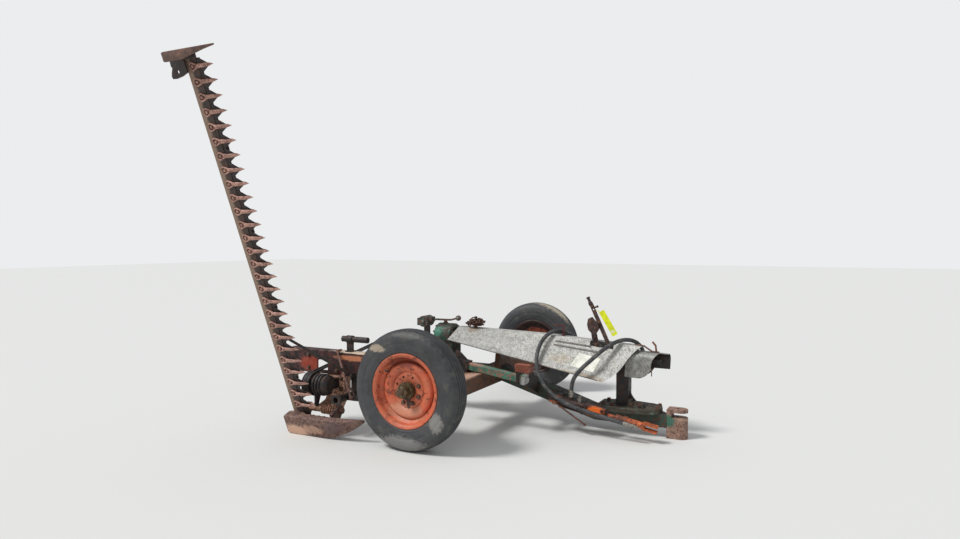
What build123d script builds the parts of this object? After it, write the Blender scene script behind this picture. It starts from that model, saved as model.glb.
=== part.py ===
"""Trail-type sickle bar mower, parked with its cutter bar folded up.

Row frame: X points forward to the tractor, Y to the left wheel, Z up.
The origin is on the hitch pin's axis, halfway between the two jaws of the hitch clevis.
Heights are written above the ground and go through up().
Places called back are distances behind the hitch pin.
"""
from math import asin, cos, radians, sin, tan
import os

from build123d import *

os.makedirs("parts", exist_ok=True)

# Ground and wheels
hitch_height = 140
axle_back = 1285
track = 1840
tyre_radius = 340
tyre_width = 152
running_gap = 0.3

# Hitch clevis and tongue
jaw_gap = 30
jaw_thickness = 20
jaw_radius = 55
jaw_back = 62
hitch_bore_radius = 13
clevis_width = 84
clevis_wall = 14
foot_pocket = 26
tongue_width = 90
tongue_wall = 8
tongue_low = 62
plate_top = 170
plate_thickness = 30
plate_back = 480

# Cross beam, spine and red arm
beam_top = 345
beam_depth = 100
beam_length = 110
beam_front = 1135
beam_wall = 8
spindle_plate = 16
spindle_radius = 22
spine_back = 1960
spine_height = 80
arm_width = 70
arm_height = 145
arm_wall = 8
arm_rear = 2290

# Driveline and shield
shaft_front_back = 105
shaft_front_height = 445
shaft_fall = 2.94
shaft_radius = 22
spline_radius = 17.5
stand_back = 330
stand_length = 76
stand_width = 70
bearing_radius = 46
bell_radius = 54
carrier_back = 1150
case_front = 1500
case_length = 140
case_radius = 80
jack_height = 400
jack_radius = 20
sheet = 3
shield_half = 190
shield_flat = 32
# The shield's cross-sections from rear to front: place behind the pin, ridge and edge heights
shield_rear = (1465, 584, 514)
shield_middle = (835, 571, 405)
shield_front = (200, 532, 290)

# Knife drive
drive_sheave_radius = 100
driven_sheave_radius = 72
sheave_back = 1986
sheave_width = 52
belt_depth = 10
head_y = -885
head_height = 300
head_radius = 66
head_length = 107

# Cutter bar, in its working position hinged at the inner shoe
fold_angle = 68.5
hinge_y = -862
hinge_height = 150
hinge_pin_radius = 13
hinge_barrel_radius = 24
bar_rear = 2100
bar_width = 76
bar_thickness = 10
guard_pitch = 76.2
guard_count = 27
guard_length = 111
first_guard = 78
wing_thickness = 10
wing_width = 70
lug_thickness = 22
rear_lug_back = 2060
front_lug_back = 1830
shoe_width = 125
shoe_length = 565
shoe_floor = 14
outer_shoe_length = 312
outer_shoe_width = 50
section_depth = 62
knife_back_width = 18
knife_stroke = 76.2

# Hydraulic cylinder and hose
cylinder_y = -190
barrel_radius = 26
rod_radius = 9
shank_radius = 19
cylinder_pin_radius = 9
hose_radius = 12.5

beam_half = track / 2 - 120
beam_back = beam_front + beam_length
plate_bottom = plate_top - plate_thickness
shaft_slope = tan(radians(shaft_fall))
from_base = (Align.CENTER, Align.CENTER, Align.MIN)


def up(height):
    """Z of a height above the ground."""
    return height - hitch_height


def shaft_height(back):
    """Height above the ground of the driveline's axis, this far behind the hitch pin."""
    return shaft_front_height + (back - shaft_front_back) * shaft_slope


def along_shaft(back):
    """Distance along the sloping driveline of a place this far behind the hitch pin."""
    return (back - shaft_front_back) / cos(radians(shaft_fall))


def tongue_top(back):
    """Height of the tongue's sloping top."""
    run = beam_front - plate_back
    return plate_bottom + (beam_top - plate_bottom) * (back - plate_back) / run


def shield_at(back, level):
    """Height of the shield's ridge (level 1) or edge (level 2), straight between its sections."""
    ends = (shield_rear, shield_middle) if back > shield_middle[0] else (shield_middle, shield_front)
    share = (back - ends[1][0]) / (ends[0][0] - ends[1][0])
    return ends[1][level] + share * (ends[0][level] - ends[1][level])


def under_ridge(back):
    """Height of the ridge's underside."""
    return shield_at(back, 1) - sheet


def write(builder, name):
    """Label the finished piece and write its STEP file."""
    builder.part.label = name
    export_step(builder.part, f"parts/{name}.step")


# Hitch clevis: two jaws and a hollow foot that rests on the ground
with BuildPart() as hitch_clevis:
    with BuildSketch(Plane.XY.offset(up(0))):
        with BuildLine():
            Polyline((0, -clevis_width / 2), (-jaw_back, -clevis_width / 2),
                     (-jaw_back, clevis_width / 2), (0, clevis_width / 2))
            ThreePointArc((0, clevis_width / 2), (jaw_radius, 0), (0, -clevis_width / 2))
        make_face()
    extrude(amount=hitch_height + jaw_gap / 2 + jaw_thickness)
    with BuildSketch(Plane.XZ):
        with Locations((clevis_wall * 2 - jaw_back, 0)):
            Rectangle(jaw_radius + jaw_back, jaw_gap, align=(Align.MIN, Align.CENTER))
    extrude(amount=clevis_width, both=True, mode=Mode.SUBTRACT)
    with BuildSketch(Plane.XY.offset(up(0))):
        with Locations((clevis_wall - jaw_back, 0)):
            Rectangle(jaw_back - clevis_wall + foot_pocket, clevis_width - 2 * clevis_wall,
                      align=(Align.MIN, Align.CENTER))
    extrude(amount=hitch_height - jaw_gap / 2 - jaw_thickness, mode=Mode.SUBTRACT)
    fillet(hitch_clevis.faces().sort_by(Axis.Z)[-1].edges(), 4)
    Hole(hitch_bore_radius, depth=hitch_height + jaw_gap)
write(hitch_clevis, "hitch_clevis")

# Tongue: a welded box beam that rises from the low hitch to the cross beam
with BuildPart() as tongue:
    with BuildSketch(Plane.XZ):
        with BuildLine():
            Polyline((-jaw_back, up(tongue_low)), (-jaw_back, up(plate_bottom - 14)),
                     (-jaw_back - 40, up(plate_bottom)), (-plate_back, up(plate_bottom)),
                     (-beam_front, up(beam_top)), (-beam_front, up(beam_top - beam_depth)),
                     (-plate_back - 20, up(tongue_low)), close=True)
        make_face()
    extrude(amount=tongue_width / 2, both=True)
    with BuildSketch(Plane.XZ):
        with BuildLine():
            Polyline((-plate_back - 60, up(tongue_low + 40)),
                     (-plate_back - 60, up(tongue_top(plate_back + 60) - tongue_wall * 1.5)),
                     (-beam_front, up(beam_top - tongue_wall * 1.5)),
                     (-beam_front, up(beam_top - beam_depth + tongue_wall * 1.5)), close=True)
        make_face()
    extrude(amount=tongue_width / 2 - tongue_wall, both=True, mode=Mode.SUBTRACT)
write(tongue, "tongue")

# Drawbar plate with its round nose, lying on the tongue
nose_radius = 100
nose_back = 195
plate_half_back = 85
plate_half_middle = 118
clamp_back = 241
clamp_y = -46
with BuildPart() as drawbar_plate:
    with BuildSketch(Plane.XY.offset(up(plate_bottom))):
        with BuildLine():
            Line((-plate_back, -plate_half_back), (-plate_back, plate_half_back))
            ThreePointArc((-plate_back, plate_half_back), (-320, plate_half_middle),
                          (-nose_back, nose_radius))
            ThreePointArc((-nose_back, nose_radius), (nose_radius - nose_back, 0),
                          (-nose_back, -nose_radius))
            ThreePointArc((-nose_back, -nose_radius), (-320, -plate_half_middle),
                          (-plate_back, -plate_half_back))
        make_face()
    extrude(amount=plate_thickness)
    fillet(drawbar_plate.edges().group_by(Axis.Z)[-1], 6)
    with Locations((45 - nose_back, 0, up(plate_top))):
        Hole(11, depth=plate_thickness)
    # Clamp welded on in front of the stand
    with Locations((-clamp_back, clamp_y, up(plate_top))):
        Box(98, 60, 12, align=from_base)
    with Locations((-clamp_back - 36, clamp_y, up(plate_top))):
        Box(16, 54, 44, align=from_base)
    with Locations((-clamp_back + 4, clamp_y, up(plate_top))):
        Cylinder(21, 30, align=from_base)
    with Locations((-clamp_back + 36, clamp_y, up(plate_top))):
        Box(14, 50, 24, align=from_base)
write(drawbar_plate, "drawbar_plate")

# Driveline's axis: local X runs to the left, local Z runs back along the shaft
drive_plane = Plane(origin=(-shaft_front_back, 0, up(shaft_front_height)), x_dir=(0, 1, 0),
                    z_dir=(-cos(radians(shaft_fall)), 0, sin(radians(shaft_fall))))

# Cross beam, a box tube with a spindle plate and a fixed spindle on each end
carrier_length = 30
hub_half = 55
with BuildPart() as cross_beam:
    with Locations((-beam_front - beam_length / 2, 0, up(beam_top - beam_depth / 2))):
        Box(beam_length, 2 * beam_half, beam_depth)
        Box(beam_length - 2 * beam_wall, 2 * beam_half, beam_depth - 2 * beam_wall,
            mode=Mode.SUBTRACT)
    for side in (-1, 1):
        with BuildSketch(Plane.XZ.offset(-side * (beam_half + spindle_plate / 2))):
            with BuildLine():
                Polyline((-beam_front, up(beam_top)), (-axle_back + 30, up(tyre_radius + 45)),
                         (-axle_back - 45, up(tyre_radius + 45)),
                         (-axle_back - 45, up(tyre_radius - 45)),
                         (-beam_back, up(beam_top - beam_depth)),
                         (-beam_front, up(beam_top - beam_depth)), close=True)
            make_face()
        extrude(amount=spindle_plate / 2, both=True)
        with BuildSketch(Plane.XZ.offset(-side * (beam_half + spindle_plate))):
            with Locations((-axle_back, up(tyre_radius))):
                Circle(spindle_radius)
        extrude(amount=-side * (track / 2 + hub_half - 20 - beam_half - spindle_plate))
    # Bearing carrier of the drive shaft on the beam; its post also holds up the shield
    with BuildSketch(Plane.YZ.offset(-carrier_back - carrier_length / 2)):
        with BuildLine():
            Polyline((-95, up(beam_top)), (95, up(beam_top)), (62, up(shaft_height(carrier_back))),
                     (30, up(shaft_height(carrier_back) + 45)),
                     (-30, up(shaft_height(carrier_back) + 45)),
                     (-62, up(shaft_height(carrier_back))), close=True)
        make_face()
    extrude(amount=carrier_length)
    with BuildSketch(Plane.XZ):
        with BuildLine():
            Polyline((-carrier_back - carrier_length / 2, up(beam_top + 30)),
                     (-carrier_back - carrier_length / 2,
                      up(under_ridge(carrier_back + carrier_length / 2))),
                     (-carrier_back + carrier_length / 2,
                      up(under_ridge(carrier_back - carrier_length / 2))),
                     (-carrier_back + carrier_length / 2, up(beam_top + 30)), close=True)
        make_face()
    extrude(amount=shield_flat / 2, both=True)
    with BuildSketch(drive_plane.offset(along_shaft(carrier_back) - 30)):
        Circle(bearing_radius - 6)
    extrude(amount=60)
    with BuildSketch(drive_plane):
        Circle(shaft_radius + running_gap)
    extrude(amount=along_shaft(carrier_back) + 60, mode=Mode.SUBTRACT)
write(cross_beam, "cross_beam")

# Wheels: tyre, drop-centre rim with dished disc, hub with its cap
rim_radius = 208
hub_radius = 48
bolt_circle = 76
disc_place = 18
disc_sheet = 6
cap_radius = 34
cap_length = 42
for side, word in ((-1, "right"), (1, "left")):
    centre = side * track / 2
    wheel_plane = Plane(origin=(-axle_back, centre, up(tyre_radius)), x_dir=(1, 0, 0),
                        z_dir=(0, side, 0))
    with BuildPart(wheel_plane) as hub:
        with Locations((0, 0, -hub_half)):
            Cylinder(hub_radius, 2 * hub_half, align=from_base)
        with Locations((0, 0, disc_place - 10)):
            Cylinder(bolt_circle + 18, 10, align=from_base)
        with Locations((0, 0, hub_half)):
            Cylinder(cap_radius, cap_length, align=from_base)
        with Locations((0, 0, -hub_half)):
            Cylinder(spindle_radius + running_gap, 2 * hub_half - 18, align=from_base,
                     mode=Mode.SUBTRACT)
        fillet(hub.edges().sort_by(Axis.Y)[-1 if side > 0 else 0], 12)
    write(hub, f"hub_{word}")

    # In the wheel's section, the first number runs outboard and the second is the radius.
    section = Plane(origin=(-axle_back, centre, up(tyre_radius)), x_dir=(0, side, 0),
                    z_dir=(-side, 0, 0))
    spin_axis = Axis((-axle_back, centre, up(tyre_radius)), (0, 1, 0))
    with BuildPart() as rim:
        with BuildSketch(section):
            with BuildLine():
                Polyline((-57, rim_radius), (-57, 193), (-50, 190.5), (-28, 190.5), (-16, 168),
                         (16, 168), (28, 190.5), (50, 190.5), (57, 193), (57, rim_radius),
                         (62, rim_radius), (62, 188), (53, 184), (31, 184), (20, 162),
                         (-20, 162), (-31, 184), (-53, 184), (-62, 188), (-62, rim_radius),
                         close=True)
            make_face()
            with BuildLine():
                Polyline((2, 163), (22, 150), (34, 120), (28, 100), (disc_place, 96),
                         (disc_place, hub_radius + running_gap),
                         (disc_place + disc_sheet, hub_radius + running_gap),
                         (disc_place + disc_sheet, 94), (34, 98), (41, 120), (28, 154),
                         (10, 163), close=True)
            make_face()
        revolve(axis=spin_axis)
    write(rim, f"rim_{word}")

    half = tyre_width / 2
    with BuildPart() as tyre:
        with BuildSketch(section):
            with BuildLine():
                Polyline((-49, 190.8), (-56.7, 193.2), (-56.7, rim_radius), (-62, rim_radius + 2))
                ThreePointArc((-62, rim_radius + 2), (-half, tyre_radius - 78),
                              (-half + 16, tyre_radius - 18))
                ThreePointArc((-half + 16, tyre_radius - 18), (0, tyre_radius),
                              (half - 16, tyre_radius - 18))
                ThreePointArc((half - 16, tyre_radius - 18), (half, tyre_radius - 78),
                              (62, rim_radius + 2))
                Polyline((62, rim_radius + 2), (56.7, rim_radius), (56.7, 193.2), (49, 190.8),
                         (44, 200), (half - 12, tyre_radius - 78), (half - 28, tyre_radius - 26),
                         (-half + 28, tyre_radius - 26), (-half + 12, tyre_radius - 78), (-44, 200),
                         (-49, 190.8))
            make_face()
        revolve(axis=spin_axis)
    write(tyre, f"tyre_{word}")

# Rear spine, an open-ended box beam behind the cross beam
spine_top = beam_top - 10
with BuildPart() as rear_spine:
    with Locations((-(beam_back + spine_back) / 2, 0, up(spine_top - spine_height / 2))):
        Box(spine_back - beam_back, tongue_width, spine_height)
        Box(spine_back - beam_back, tongue_width - 2 * beam_wall, spine_height - 2 * beam_wall,
            mode=Mode.SUBTRACT)
    # Bearing block of the jackshaft on the spine's rear end
    with BuildSketch(Plane.YZ.offset(-spine_back + 20)):
        with BuildLine():
            Polyline((-tongue_width / 2, up(spine_top)), (tongue_width / 2, up(spine_top)),
                     (30, up(jack_height)), (-30, up(jack_height)), close=True)
        make_face()
        with Locations((0, up(jack_height))):
            Circle(36)
            Circle(jack_radius + running_gap, mode=Mode.SUBTRACT)
    extrude(amount=44)
write(rear_spine, "rear_spine")

# Red rear arm, a fore-and-aft channel on the cross beam, open to the inside.
# The belts pass through a window in its web.
arm_outer = -(beam_half - 10)
arm_inner = arm_outer + arm_width
arm_top = beam_top + arm_height
with BuildPart() as rear_arm:
    with BuildSketch(Plane.YZ.offset(-arm_rear)):
        with Locations((arm_outer, up(beam_top))):
            Rectangle(arm_width, arm_height, align=(Align.MIN, Align.MIN))
        with Locations((arm_outer + arm_wall, up(beam_top + arm_wall))):
            Rectangle(arm_width, arm_height - 2 * arm_wall, align=(Align.MIN, Align.MIN),
                      mode=Mode.SUBTRACT)
    extrude(amount=arm_rear - beam_front - 10)
    with BuildSketch(Plane.XZ.offset(-arm_outer)):
        with Locations((-sheave_back - sheave_width / 2, up(beam_top + 52))):
            RectangleRounded(sheave_width + 24, 64, 10)
    extrude(amount=-arm_wall, mode=Mode.SUBTRACT)
    fillet(rear_arm.edges().filter_by(Axis.X).group_by(Axis.Y)[0], 6)
write(rear_arm, "rear_arm")

# Rubber-sleeved rest strapped on top of the red arm
rest_radius = 18
rest_height = arm_top + 76
with BuildPart() as arm_rest:
    with BuildSketch(Plane.YZ.offset(-1880)):
        with Locations((arm_outer + arm_width / 2, up(rest_height))):
            Circle(rest_radius)
    extrude(amount=188)
    with BuildSketch(Plane.YZ.offset(-1846)):
        with Locations((arm_outer + arm_width / 2, up(arm_top))):
            Rectangle(14, rest_height - arm_top, align=(Align.CENTER, Align.MIN))
            Rectangle(50, 6, align=(Align.CENTER, Align.MIN))
        with Locations((arm_outer + arm_width / 2, up(rest_height))):
            Circle(rest_radius + 5)
    extrude(amount=44)
write(arm_rest, "arm_rest")

# Driveline: splined input at the front, round shaft back to the gear case
spline_end = along_shaft(stand_back - 50)
spline_length = 80
spline_width = 6
spline_depth = 2
case_socket = 24
with BuildPart(drive_plane) as drive_shaft:
    Cylinder(spline_radius, spline_end, align=from_base)
    with PolarLocations(spline_radius, 6):
        Box(2 * spline_depth, spline_width, spline_length, align=from_base, mode=Mode.SUBTRACT)
    with Locations((0, 0, spline_end)):
        Cylinder(shaft_radius, along_shaft(case_front) + case_socket - 2 - spline_end,
                 align=from_base)
write(drive_shaft, "drive_shaft")

# Stand that carries the shaft's front bearing, the bell and the shield's front
bell_seat = 10
bearing_half = 22
with BuildPart() as shield_stand:
    with Locations((-stand_back, 0, up(plate_top))):
        Box(stand_length, stand_width, shaft_height(stand_back) - plate_top, align=from_base)
    with BuildSketch(Plane.XZ):
        with BuildLine():
            Line((-stand_back, up(plate_top)), (-stand_back + 125, up(plate_top)))
            ThreePointArc((-stand_back + 125, up(plate_top)), (-stand_back + 56, up(218)),
                          (-stand_back + stand_length / 2, up(300)))
            Polyline((-stand_back + stand_length / 2, up(300)), (-stand_back, up(300)),
                     (-stand_back, up(plate_top)))
        make_face()
    extrude(amount=8, both=True)
    with BuildSketch(drive_plane.offset(along_shaft(stand_back) - bearing_half)):
        Circle(bearing_radius)
    extrude(amount=2 * bearing_half)
    with BuildSketch(drive_plane.offset(along_shaft(stand_back) - bearing_half - bell_seat)):
        Circle(bell_radius - sheet)
    extrude(amount=bell_seat)
    with BuildSketch(Plane.XZ):
        with BuildLine():
            Polyline((-stand_back - 20, up(shaft_height(stand_back))),
                     (-stand_back - 20, up(under_ridge(stand_back + 20))),
                     (-stand_back + 20, up(under_ridge(stand_back - 20))),
                     (-stand_back + 20, up(shaft_height(stand_back))), close=True)
        make_face()
    extrude(amount=shield_flat / 2, both=True)
    with Locations((-stand_back - stand_length / 2 - 14, -stand_width / 2 + 6, up(425))):
        Box(40, 12, 50)
    with BuildSketch(drive_plane):
        Circle(shaft_radius + running_gap)
    extrude(amount=along_shaft(stand_back) + stand_length, mode=Mode.SUBTRACT)
write(shield_stand, "shield_stand")

# Gear case on the spine: round head over a narrower foot, bearing cap and shield strap in front
case_half = 62
case_height = shaft_height(case_front + case_length / 2)
with BuildPart() as gear_case:
    with BuildSketch(Plane.YZ.offset(-case_front)):
        with Locations((0, up(spine_top))):
            Rectangle(2 * case_half, case_height - spine_top, align=(Align.CENTER, Align.MIN))
        with Locations((0, up(case_height))):
            Circle(case_radius)
    extrude(amount=-case_length)
    chamfer(gear_case.faces().filter_by(GeomType.CYLINDER).edges().filter_by(GeomType.CIRCLE), 12)
    with BuildSketch(drive_plane.offset(along_shaft(case_front) - 22)):
        Circle(38)
    extrude(amount=40)
    with BuildSketch(Plane.YZ.offset(-case_front - case_length + 20)):
        with Locations((0, up(jack_height))):
            Circle(36)
    extrude(amount=-40)
    with BuildSketch(Plane.XZ):
        with BuildLine():
            Polyline((-case_front - 14, up(under_ridge(case_front + 14) - 16)),
                     (-case_front - 14, up(under_ridge(case_front + 14))),
                     (-case_front + 80, up(under_ridge(case_front - 80))),
                     (-case_front + 80, up(under_ridge(case_front - 80) - 8)), close=True)
        make_face()
    extrude(amount=shield_flat / 2, both=True)
    with BuildSketch(drive_plane.offset(along_shaft(case_front) - 30)):
        Circle(shaft_radius + running_gap)
    extrude(amount=30 + case_socket, mode=Mode.SUBTRACT)
    with BuildSketch(Plane.YZ.offset(-case_front - case_length + case_socket)):
        with Locations((0, up(jack_height))):
            Circle(jack_radius + running_gap)
    extrude(amount=-case_socket - 30, mode=Mode.SUBTRACT)
write(gear_case, "gear_case")

# Shield: folded sheet over the driveline, deeper towards the front, where its edge is cut in an S
with BuildPart() as driveline_shield:
    for back, ridge, edge in (shield_rear, shield_middle, shield_front):
        with BuildSketch(Plane.YZ.offset(-back)):
            with BuildLine():
                Polyline((-shield_half, up(edge)), (-shield_flat, up(ridge)),
                         (shield_flat, up(ridge)), (shield_half, up(edge)),
                         (shield_half - sheet, up(edge)),
                         (shield_flat - sheet / 2, up(ridge - sheet)),
                         (sheet / 2 - shield_flat, up(ridge - sheet)),
                         (-shield_half + sheet, up(edge)), close=True)
            make_face()
    loft(ruled=True)
    with BuildSketch(Plane.XZ):
        with BuildLine():
            ThreePointArc((-436, up(322)), (-355, up(364)), (-300, up(432)))
            ThreePointArc((-300, up(432)), (-264, up(488)), (-204, up(540)))
            Polyline((-204, up(540)), (-150, up(600)), (-150, up(200)), (-436, up(200)),
                     (-436, up(322)))
        make_face()
    extrude(amount=shield_half + 10, both=True, mode=Mode.SUBTRACT)
    with Locations((-458, -42, up(530))):
        Box(150, 30, 120, mode=Mode.SUBTRACT)
write(driveline_shield, "driveline_shield")

# Front bell: a sheet hood over the splined end, open below and cut away at the near front
bell_length = 247
bell_front = along_shaft(60)
with BuildPart() as front_bell:
    with BuildSketch(drive_plane.offset(bell_front)):
        Circle(bell_radius)
        with Locations((0, bell_radius)):
            Rectangle(2 * bell_radius, 2 * bell_radius)
        Circle(bell_radius - sheet, mode=Mode.SUBTRACT)
        with Locations((0, bell_radius)):
            Rectangle(2 * (bell_radius - sheet), 2 * bell_radius, mode=Mode.SUBTRACT)
    extrude(amount=bell_length)
    with BuildSketch(Plane.XZ):
        with BuildLine():
            Line((-400, up(342)), (-245, up(342)))
            ThreePointArc((-245, up(342)), (-190, up(358)), (-158, up(396)))
            Polyline((-158, up(396)), (-20, up(396)), (-20, up(250)), (-400, up(250)),
                     (-400, up(342)))
        make_face()
    extrude(amount=2 * bell_radius, both=True, mode=Mode.SUBTRACT)
    with BuildSketch(Plane.XZ.offset(14)):
        with Locations((-58, up(418))):
            Circle(96)
    extrude(amount=2 * bell_radius, mode=Mode.SUBTRACT)
write(front_bell, "front_bell")

# Latch strap from the shield's ridge down to the bell, with its hook
bell_top = bell_radius / cos(radians(shaft_fall))
with BuildPart() as shield_latch:
    with BuildSketch(Plane.XZ):
        with BuildLine():
            Polyline((-262, up(shield_at(262, 1))), (-212, up(shield_at(212, 1))),
                     (-162, up(shaft_height(162) + bell_top + running_gap)),
                     (-118, up(shaft_height(118) + bell_top + running_gap)),
                     (-118, up(shaft_height(118) + bell_top + 4)),
                     (-160, up(shaft_height(160) + bell_top + 4)),
                     (-210, up(shield_at(210, 1) + 4)), (-262, up(shield_at(262, 1) + 4)),
                     close=True)
        make_face()
    extrude(amount=13, both=True)
    with BuildSketch(Plane.XZ):
        with BuildLine():
            Polyline((-134, up(shaft_height(134) + bell_top + 2)), (-139, up(540)), (-158, up(562)))
        trace(line_width=9)
    extrude(amount=6, both=True)
write(shield_latch, "shield_latch")

# Control levers that come up through a slot in the shield and turn on an ear of the stand
lever_pivot = (-stand_back - stand_length / 2 - 18, up(425))
lever_thickness = 7
lever_y = stand_width / 2
with BuildPart() as control_levers:
    with BuildSketch(Plane.XZ.offset(lever_y)):
        with BuildLine():
            Polyline(lever_pivot, (-407, up(513)), (-529, up(778)))
        trace(line_width=24)
        with Locations(lever_pivot):
            Circle(18)
    extrude(amount=lever_thickness)
    with BuildSketch(Plane.XZ.offset(lever_y)):
        with Locations(lever_pivot):
            Circle(7)
    extrude(amount=2 * lever_thickness + 12)
    with BuildSketch(Plane.XZ.offset(lever_y)):
        with Locations((-513, up(744))):
            Circle(5)
    extrude(amount=lever_thickness, mode=Mode.SUBTRACT)
    with BuildSketch(Plane.XZ.offset(lever_y + lever_thickness + running_gap)):
        with BuildLine():
            Polyline(lever_pivot, (-466, up(462)), (-490, up(530)), (-522, up(676)))
        trace(line_width=30)
        with Locations(lever_pivot):
            Circle(18)
            Circle(7 + running_gap, mode=Mode.SUBTRACT)
        with Locations((-520, up(668))):
            Circle(6, mode=Mode.SUBTRACT)
    extrude(amount=lever_thickness)
write(control_levers, "control_levers")

# Yellow tag wired to the long lever
with BuildPart() as yellow_tag:
    with BuildSketch(Plane.XZ.offset(lever_y + 2)):
        with BuildLine():
            Line((-464, up(736)), (-376, up(592)))
        trace(line_width=36)
        with BuildLine():
            Line((-497, up(741)), (-455, up(722)))
        trace(line_width=3)
    extrude(amount=2)
write(yellow_tag, "yellow_tag")

# Peg on the ridge with a log chain heaped round it, its links turned by turns
peg_back = 1349
peg_radius = 9
peg_length = 78
link_length = 40
link_width = 26
link_bar = 7
with BuildPart() as chain_peg:
    with Locations((-peg_back, 0, up(shield_at(peg_back, 1) + running_gap))):
        Cylinder(peg_radius, peg_length, align=from_base)
    for turn_radius, height, count in ((50, 613, 9), (37, 624, 7), (21, 630, 5), (42, 636, 8)):
        for number in range(count):
            angle = radians(360 / count * number + height)
            lean = radians(20 if number % 2 else 62)
            middle = Vector(turn_radius * cos(angle) - peg_back, turn_radius * sin(angle), up(height))
            with BuildSketch(Plane(middle, x_dir=(-sin(angle), cos(angle), 0),
                                   z_dir=(sin(lean) * cos(angle), sin(lean) * sin(angle), cos(lean)))):
                for long, wide, kind in ((link_length / 2, link_width / 2, Mode.ADD),
                                         (link_length / 2 - link_bar, link_width / 2 - link_bar,
                                          Mode.SUBTRACT)):
                    Polygon((-long, 0), (-long / 2, -wide), (long / 2, -wide), (long, 0),
                            (long / 2, wide), (-long / 2, wide), mode=kind)
            extrude(amount=link_bar / 2, both=True)
write(chain_peg, "chain_peg")

# Tilt screw: a knuckle on a post above the spine, with its rod and eye over the gear case
post_back = 1713
knuckle_height = 612
with BuildPart() as tilt_screw:
    with Locations((-post_back, -35, up(spine_top))):
        Box(40, 20, knuckle_height - spine_top, align=from_base)
    with BuildSketch(Plane.XZ):
        with Locations((-post_back, up(knuckle_height))):
            Circle(38)
    extrude(amount=90)
    with BuildSketch(Plane.XZ.offset(20)):
        with Locations((-post_back - 28, up(knuckle_height - 6))):
            Rectangle(62, 50)
        with Locations((-post_back + 34, up(knuckle_height + 14))):
            Rectangle(44, 34)
    extrude(amount=50)
    with BuildSketch(Plane.XZ.offset(39)):
        with BuildLine():
            Polyline((-post_back + 50, up(626)), (-1520, up(628)), (-1474, up(640)))
        trace(line_width=12)
        with Locations((-1460, up(643))):
            Circle(18)
            Circle(9, mode=Mode.SUBTRACT)
    extrude(amount=12)
write(tilt_screw, "tilt_screw")

# Green breakaway tube beside the tongue, with its sleeve on the cross beam
link_y = -330
link_rear = Vector(-1480, link_y, up(419))
link_front = Vector(-865, link_y, up(332))
link_slope = (link_rear.Z - link_front.Z) / (link_front.X - link_rear.X)
link_run = (link_front - link_rear).length
link_size = 44
link_plane = Plane(origin=link_rear, x_dir=(0, 1, 0), z_dir=(link_front - link_rear).normalized())
sleeve_start = 100
sleeve_length = 160
with BuildPart() as breakaway_tube:
    with BuildSketch(link_plane):
        RectangleRounded(link_size, link_size, 5)
        Rectangle(link_size - 12, link_size - 12, mode=Mode.SUBTRACT)
    extrude(amount=link_run)
    with BuildSketch(link_plane.offset(link_run)):
        Rectangle(link_size + 12, link_size + 12)
    extrude(amount=28)
    with BuildSketch(link_plane.offset(link_run + 28)):
        RegularPolygon(15, 6)
    extrude(amount=14)
write(breakaway_tube, "breakaway_tube")

sleeve_size = link_size + 18
with BuildPart() as tube_sleeve:
    with BuildSketch(link_plane.offset(sleeve_start)):
        Rectangle(sleeve_size, sleeve_size)
    extrude(amount=sleeve_length)
    # The saddle's top follows the tube's slope, just inside the sleeve's floor.
    with BuildSketch(Plane.XZ.offset(-link_y)):
        with BuildLine():
            saddle_rear = -beam_back
            saddle_front = link_rear.X + sleeve_start + sleeve_length - 15
            floor = (sleeve_size - 6) / 2 * (1 + link_slope ** 2) ** 0.5
            Polyline((saddle_rear, up(beam_top)),
                     (saddle_rear, link_rear.Z - (saddle_rear - link_rear.X) * link_slope - floor),
                     (saddle_front, link_rear.Z - (saddle_front - link_rear.X) * link_slope - floor),
                     (saddle_front, up(beam_top)), close=True)
        make_face()
    extrude(amount=sleeve_size / 2, both=True)
    with BuildSketch(Plane.XZ.offset(-link_y)):
        with BuildLine():
            Polyline((-1340, up(428)), (-1318, up(478)), (-1284, up(462)), (-1229, up(413)),
                     (-1240, up(410)), close=True)
        make_face()
    extrude(amount=6, both=True)
    with BuildSketch(link_plane):
        Rectangle(link_size + 2 * running_gap, link_size + 2 * running_gap)
    extrude(amount=link_run, mode=Mode.SUBTRACT)
write(tube_sleeve, "tube_sleeve")

# Bracket from the tongue out to the tube's front end, and the ribbed block on its top edge
bracket_back = 886
block_back = 908
bracket_top = 352
with BuildPart() as link_bracket:
    with BuildSketch(Plane.YZ.offset(-bracket_back)):
        with BuildLine():
            Polyline((-tongue_width / 2, up(190)), (-tongue_width / 2, up(tongue_top(bracket_back))),
                     (-150, up(bracket_top)), (-250, up(bracket_top)), (link_y - 44, up(374)),
                     (link_y - 44, up(290)), (-260, up(280)), close=True)
        make_face()
    extrude(amount=12)
    with BuildSketch(link_plane):
        Rectangle(link_size + 2 * running_gap, link_size + 2 * running_gap)
    extrude(amount=link_run + 60, mode=Mode.SUBTRACT)
    with Locations((-block_back, -200, up(bracket_top))):
        Box(100, 66, 46, align=from_base)
    with BuildSketch(Plane.XZ.offset(233)):
        for step in range(-2, 3):
            with Locations((-block_back + step * 19, up(bracket_top + 23))):
                Rectangle(6, 52, rotation=-35)
    extrude(amount=-6, mode=Mode.SUBTRACT)
write(link_bracket, "link_bracket")

# Cutter bar. In its own frame, X runs forward, Y inboard and Z up when the bar lies on the ground.
bar_plane = Plane(origin=(0, hinge_y, up(hinge_height)), x_dir=(1, 0, 0),
                  z_dir=(0, sin(radians(fold_angle)), cos(radians(fold_angle))))
sole = -hinge_height
bar_low = sole + 62
bar_top = bar_low + bar_thickness
bar_front = bar_width - bar_rear
last_guard = -first_guard - guard_pitch * (guard_count - 1)
bar_outer_end = last_guard - 78
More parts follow.
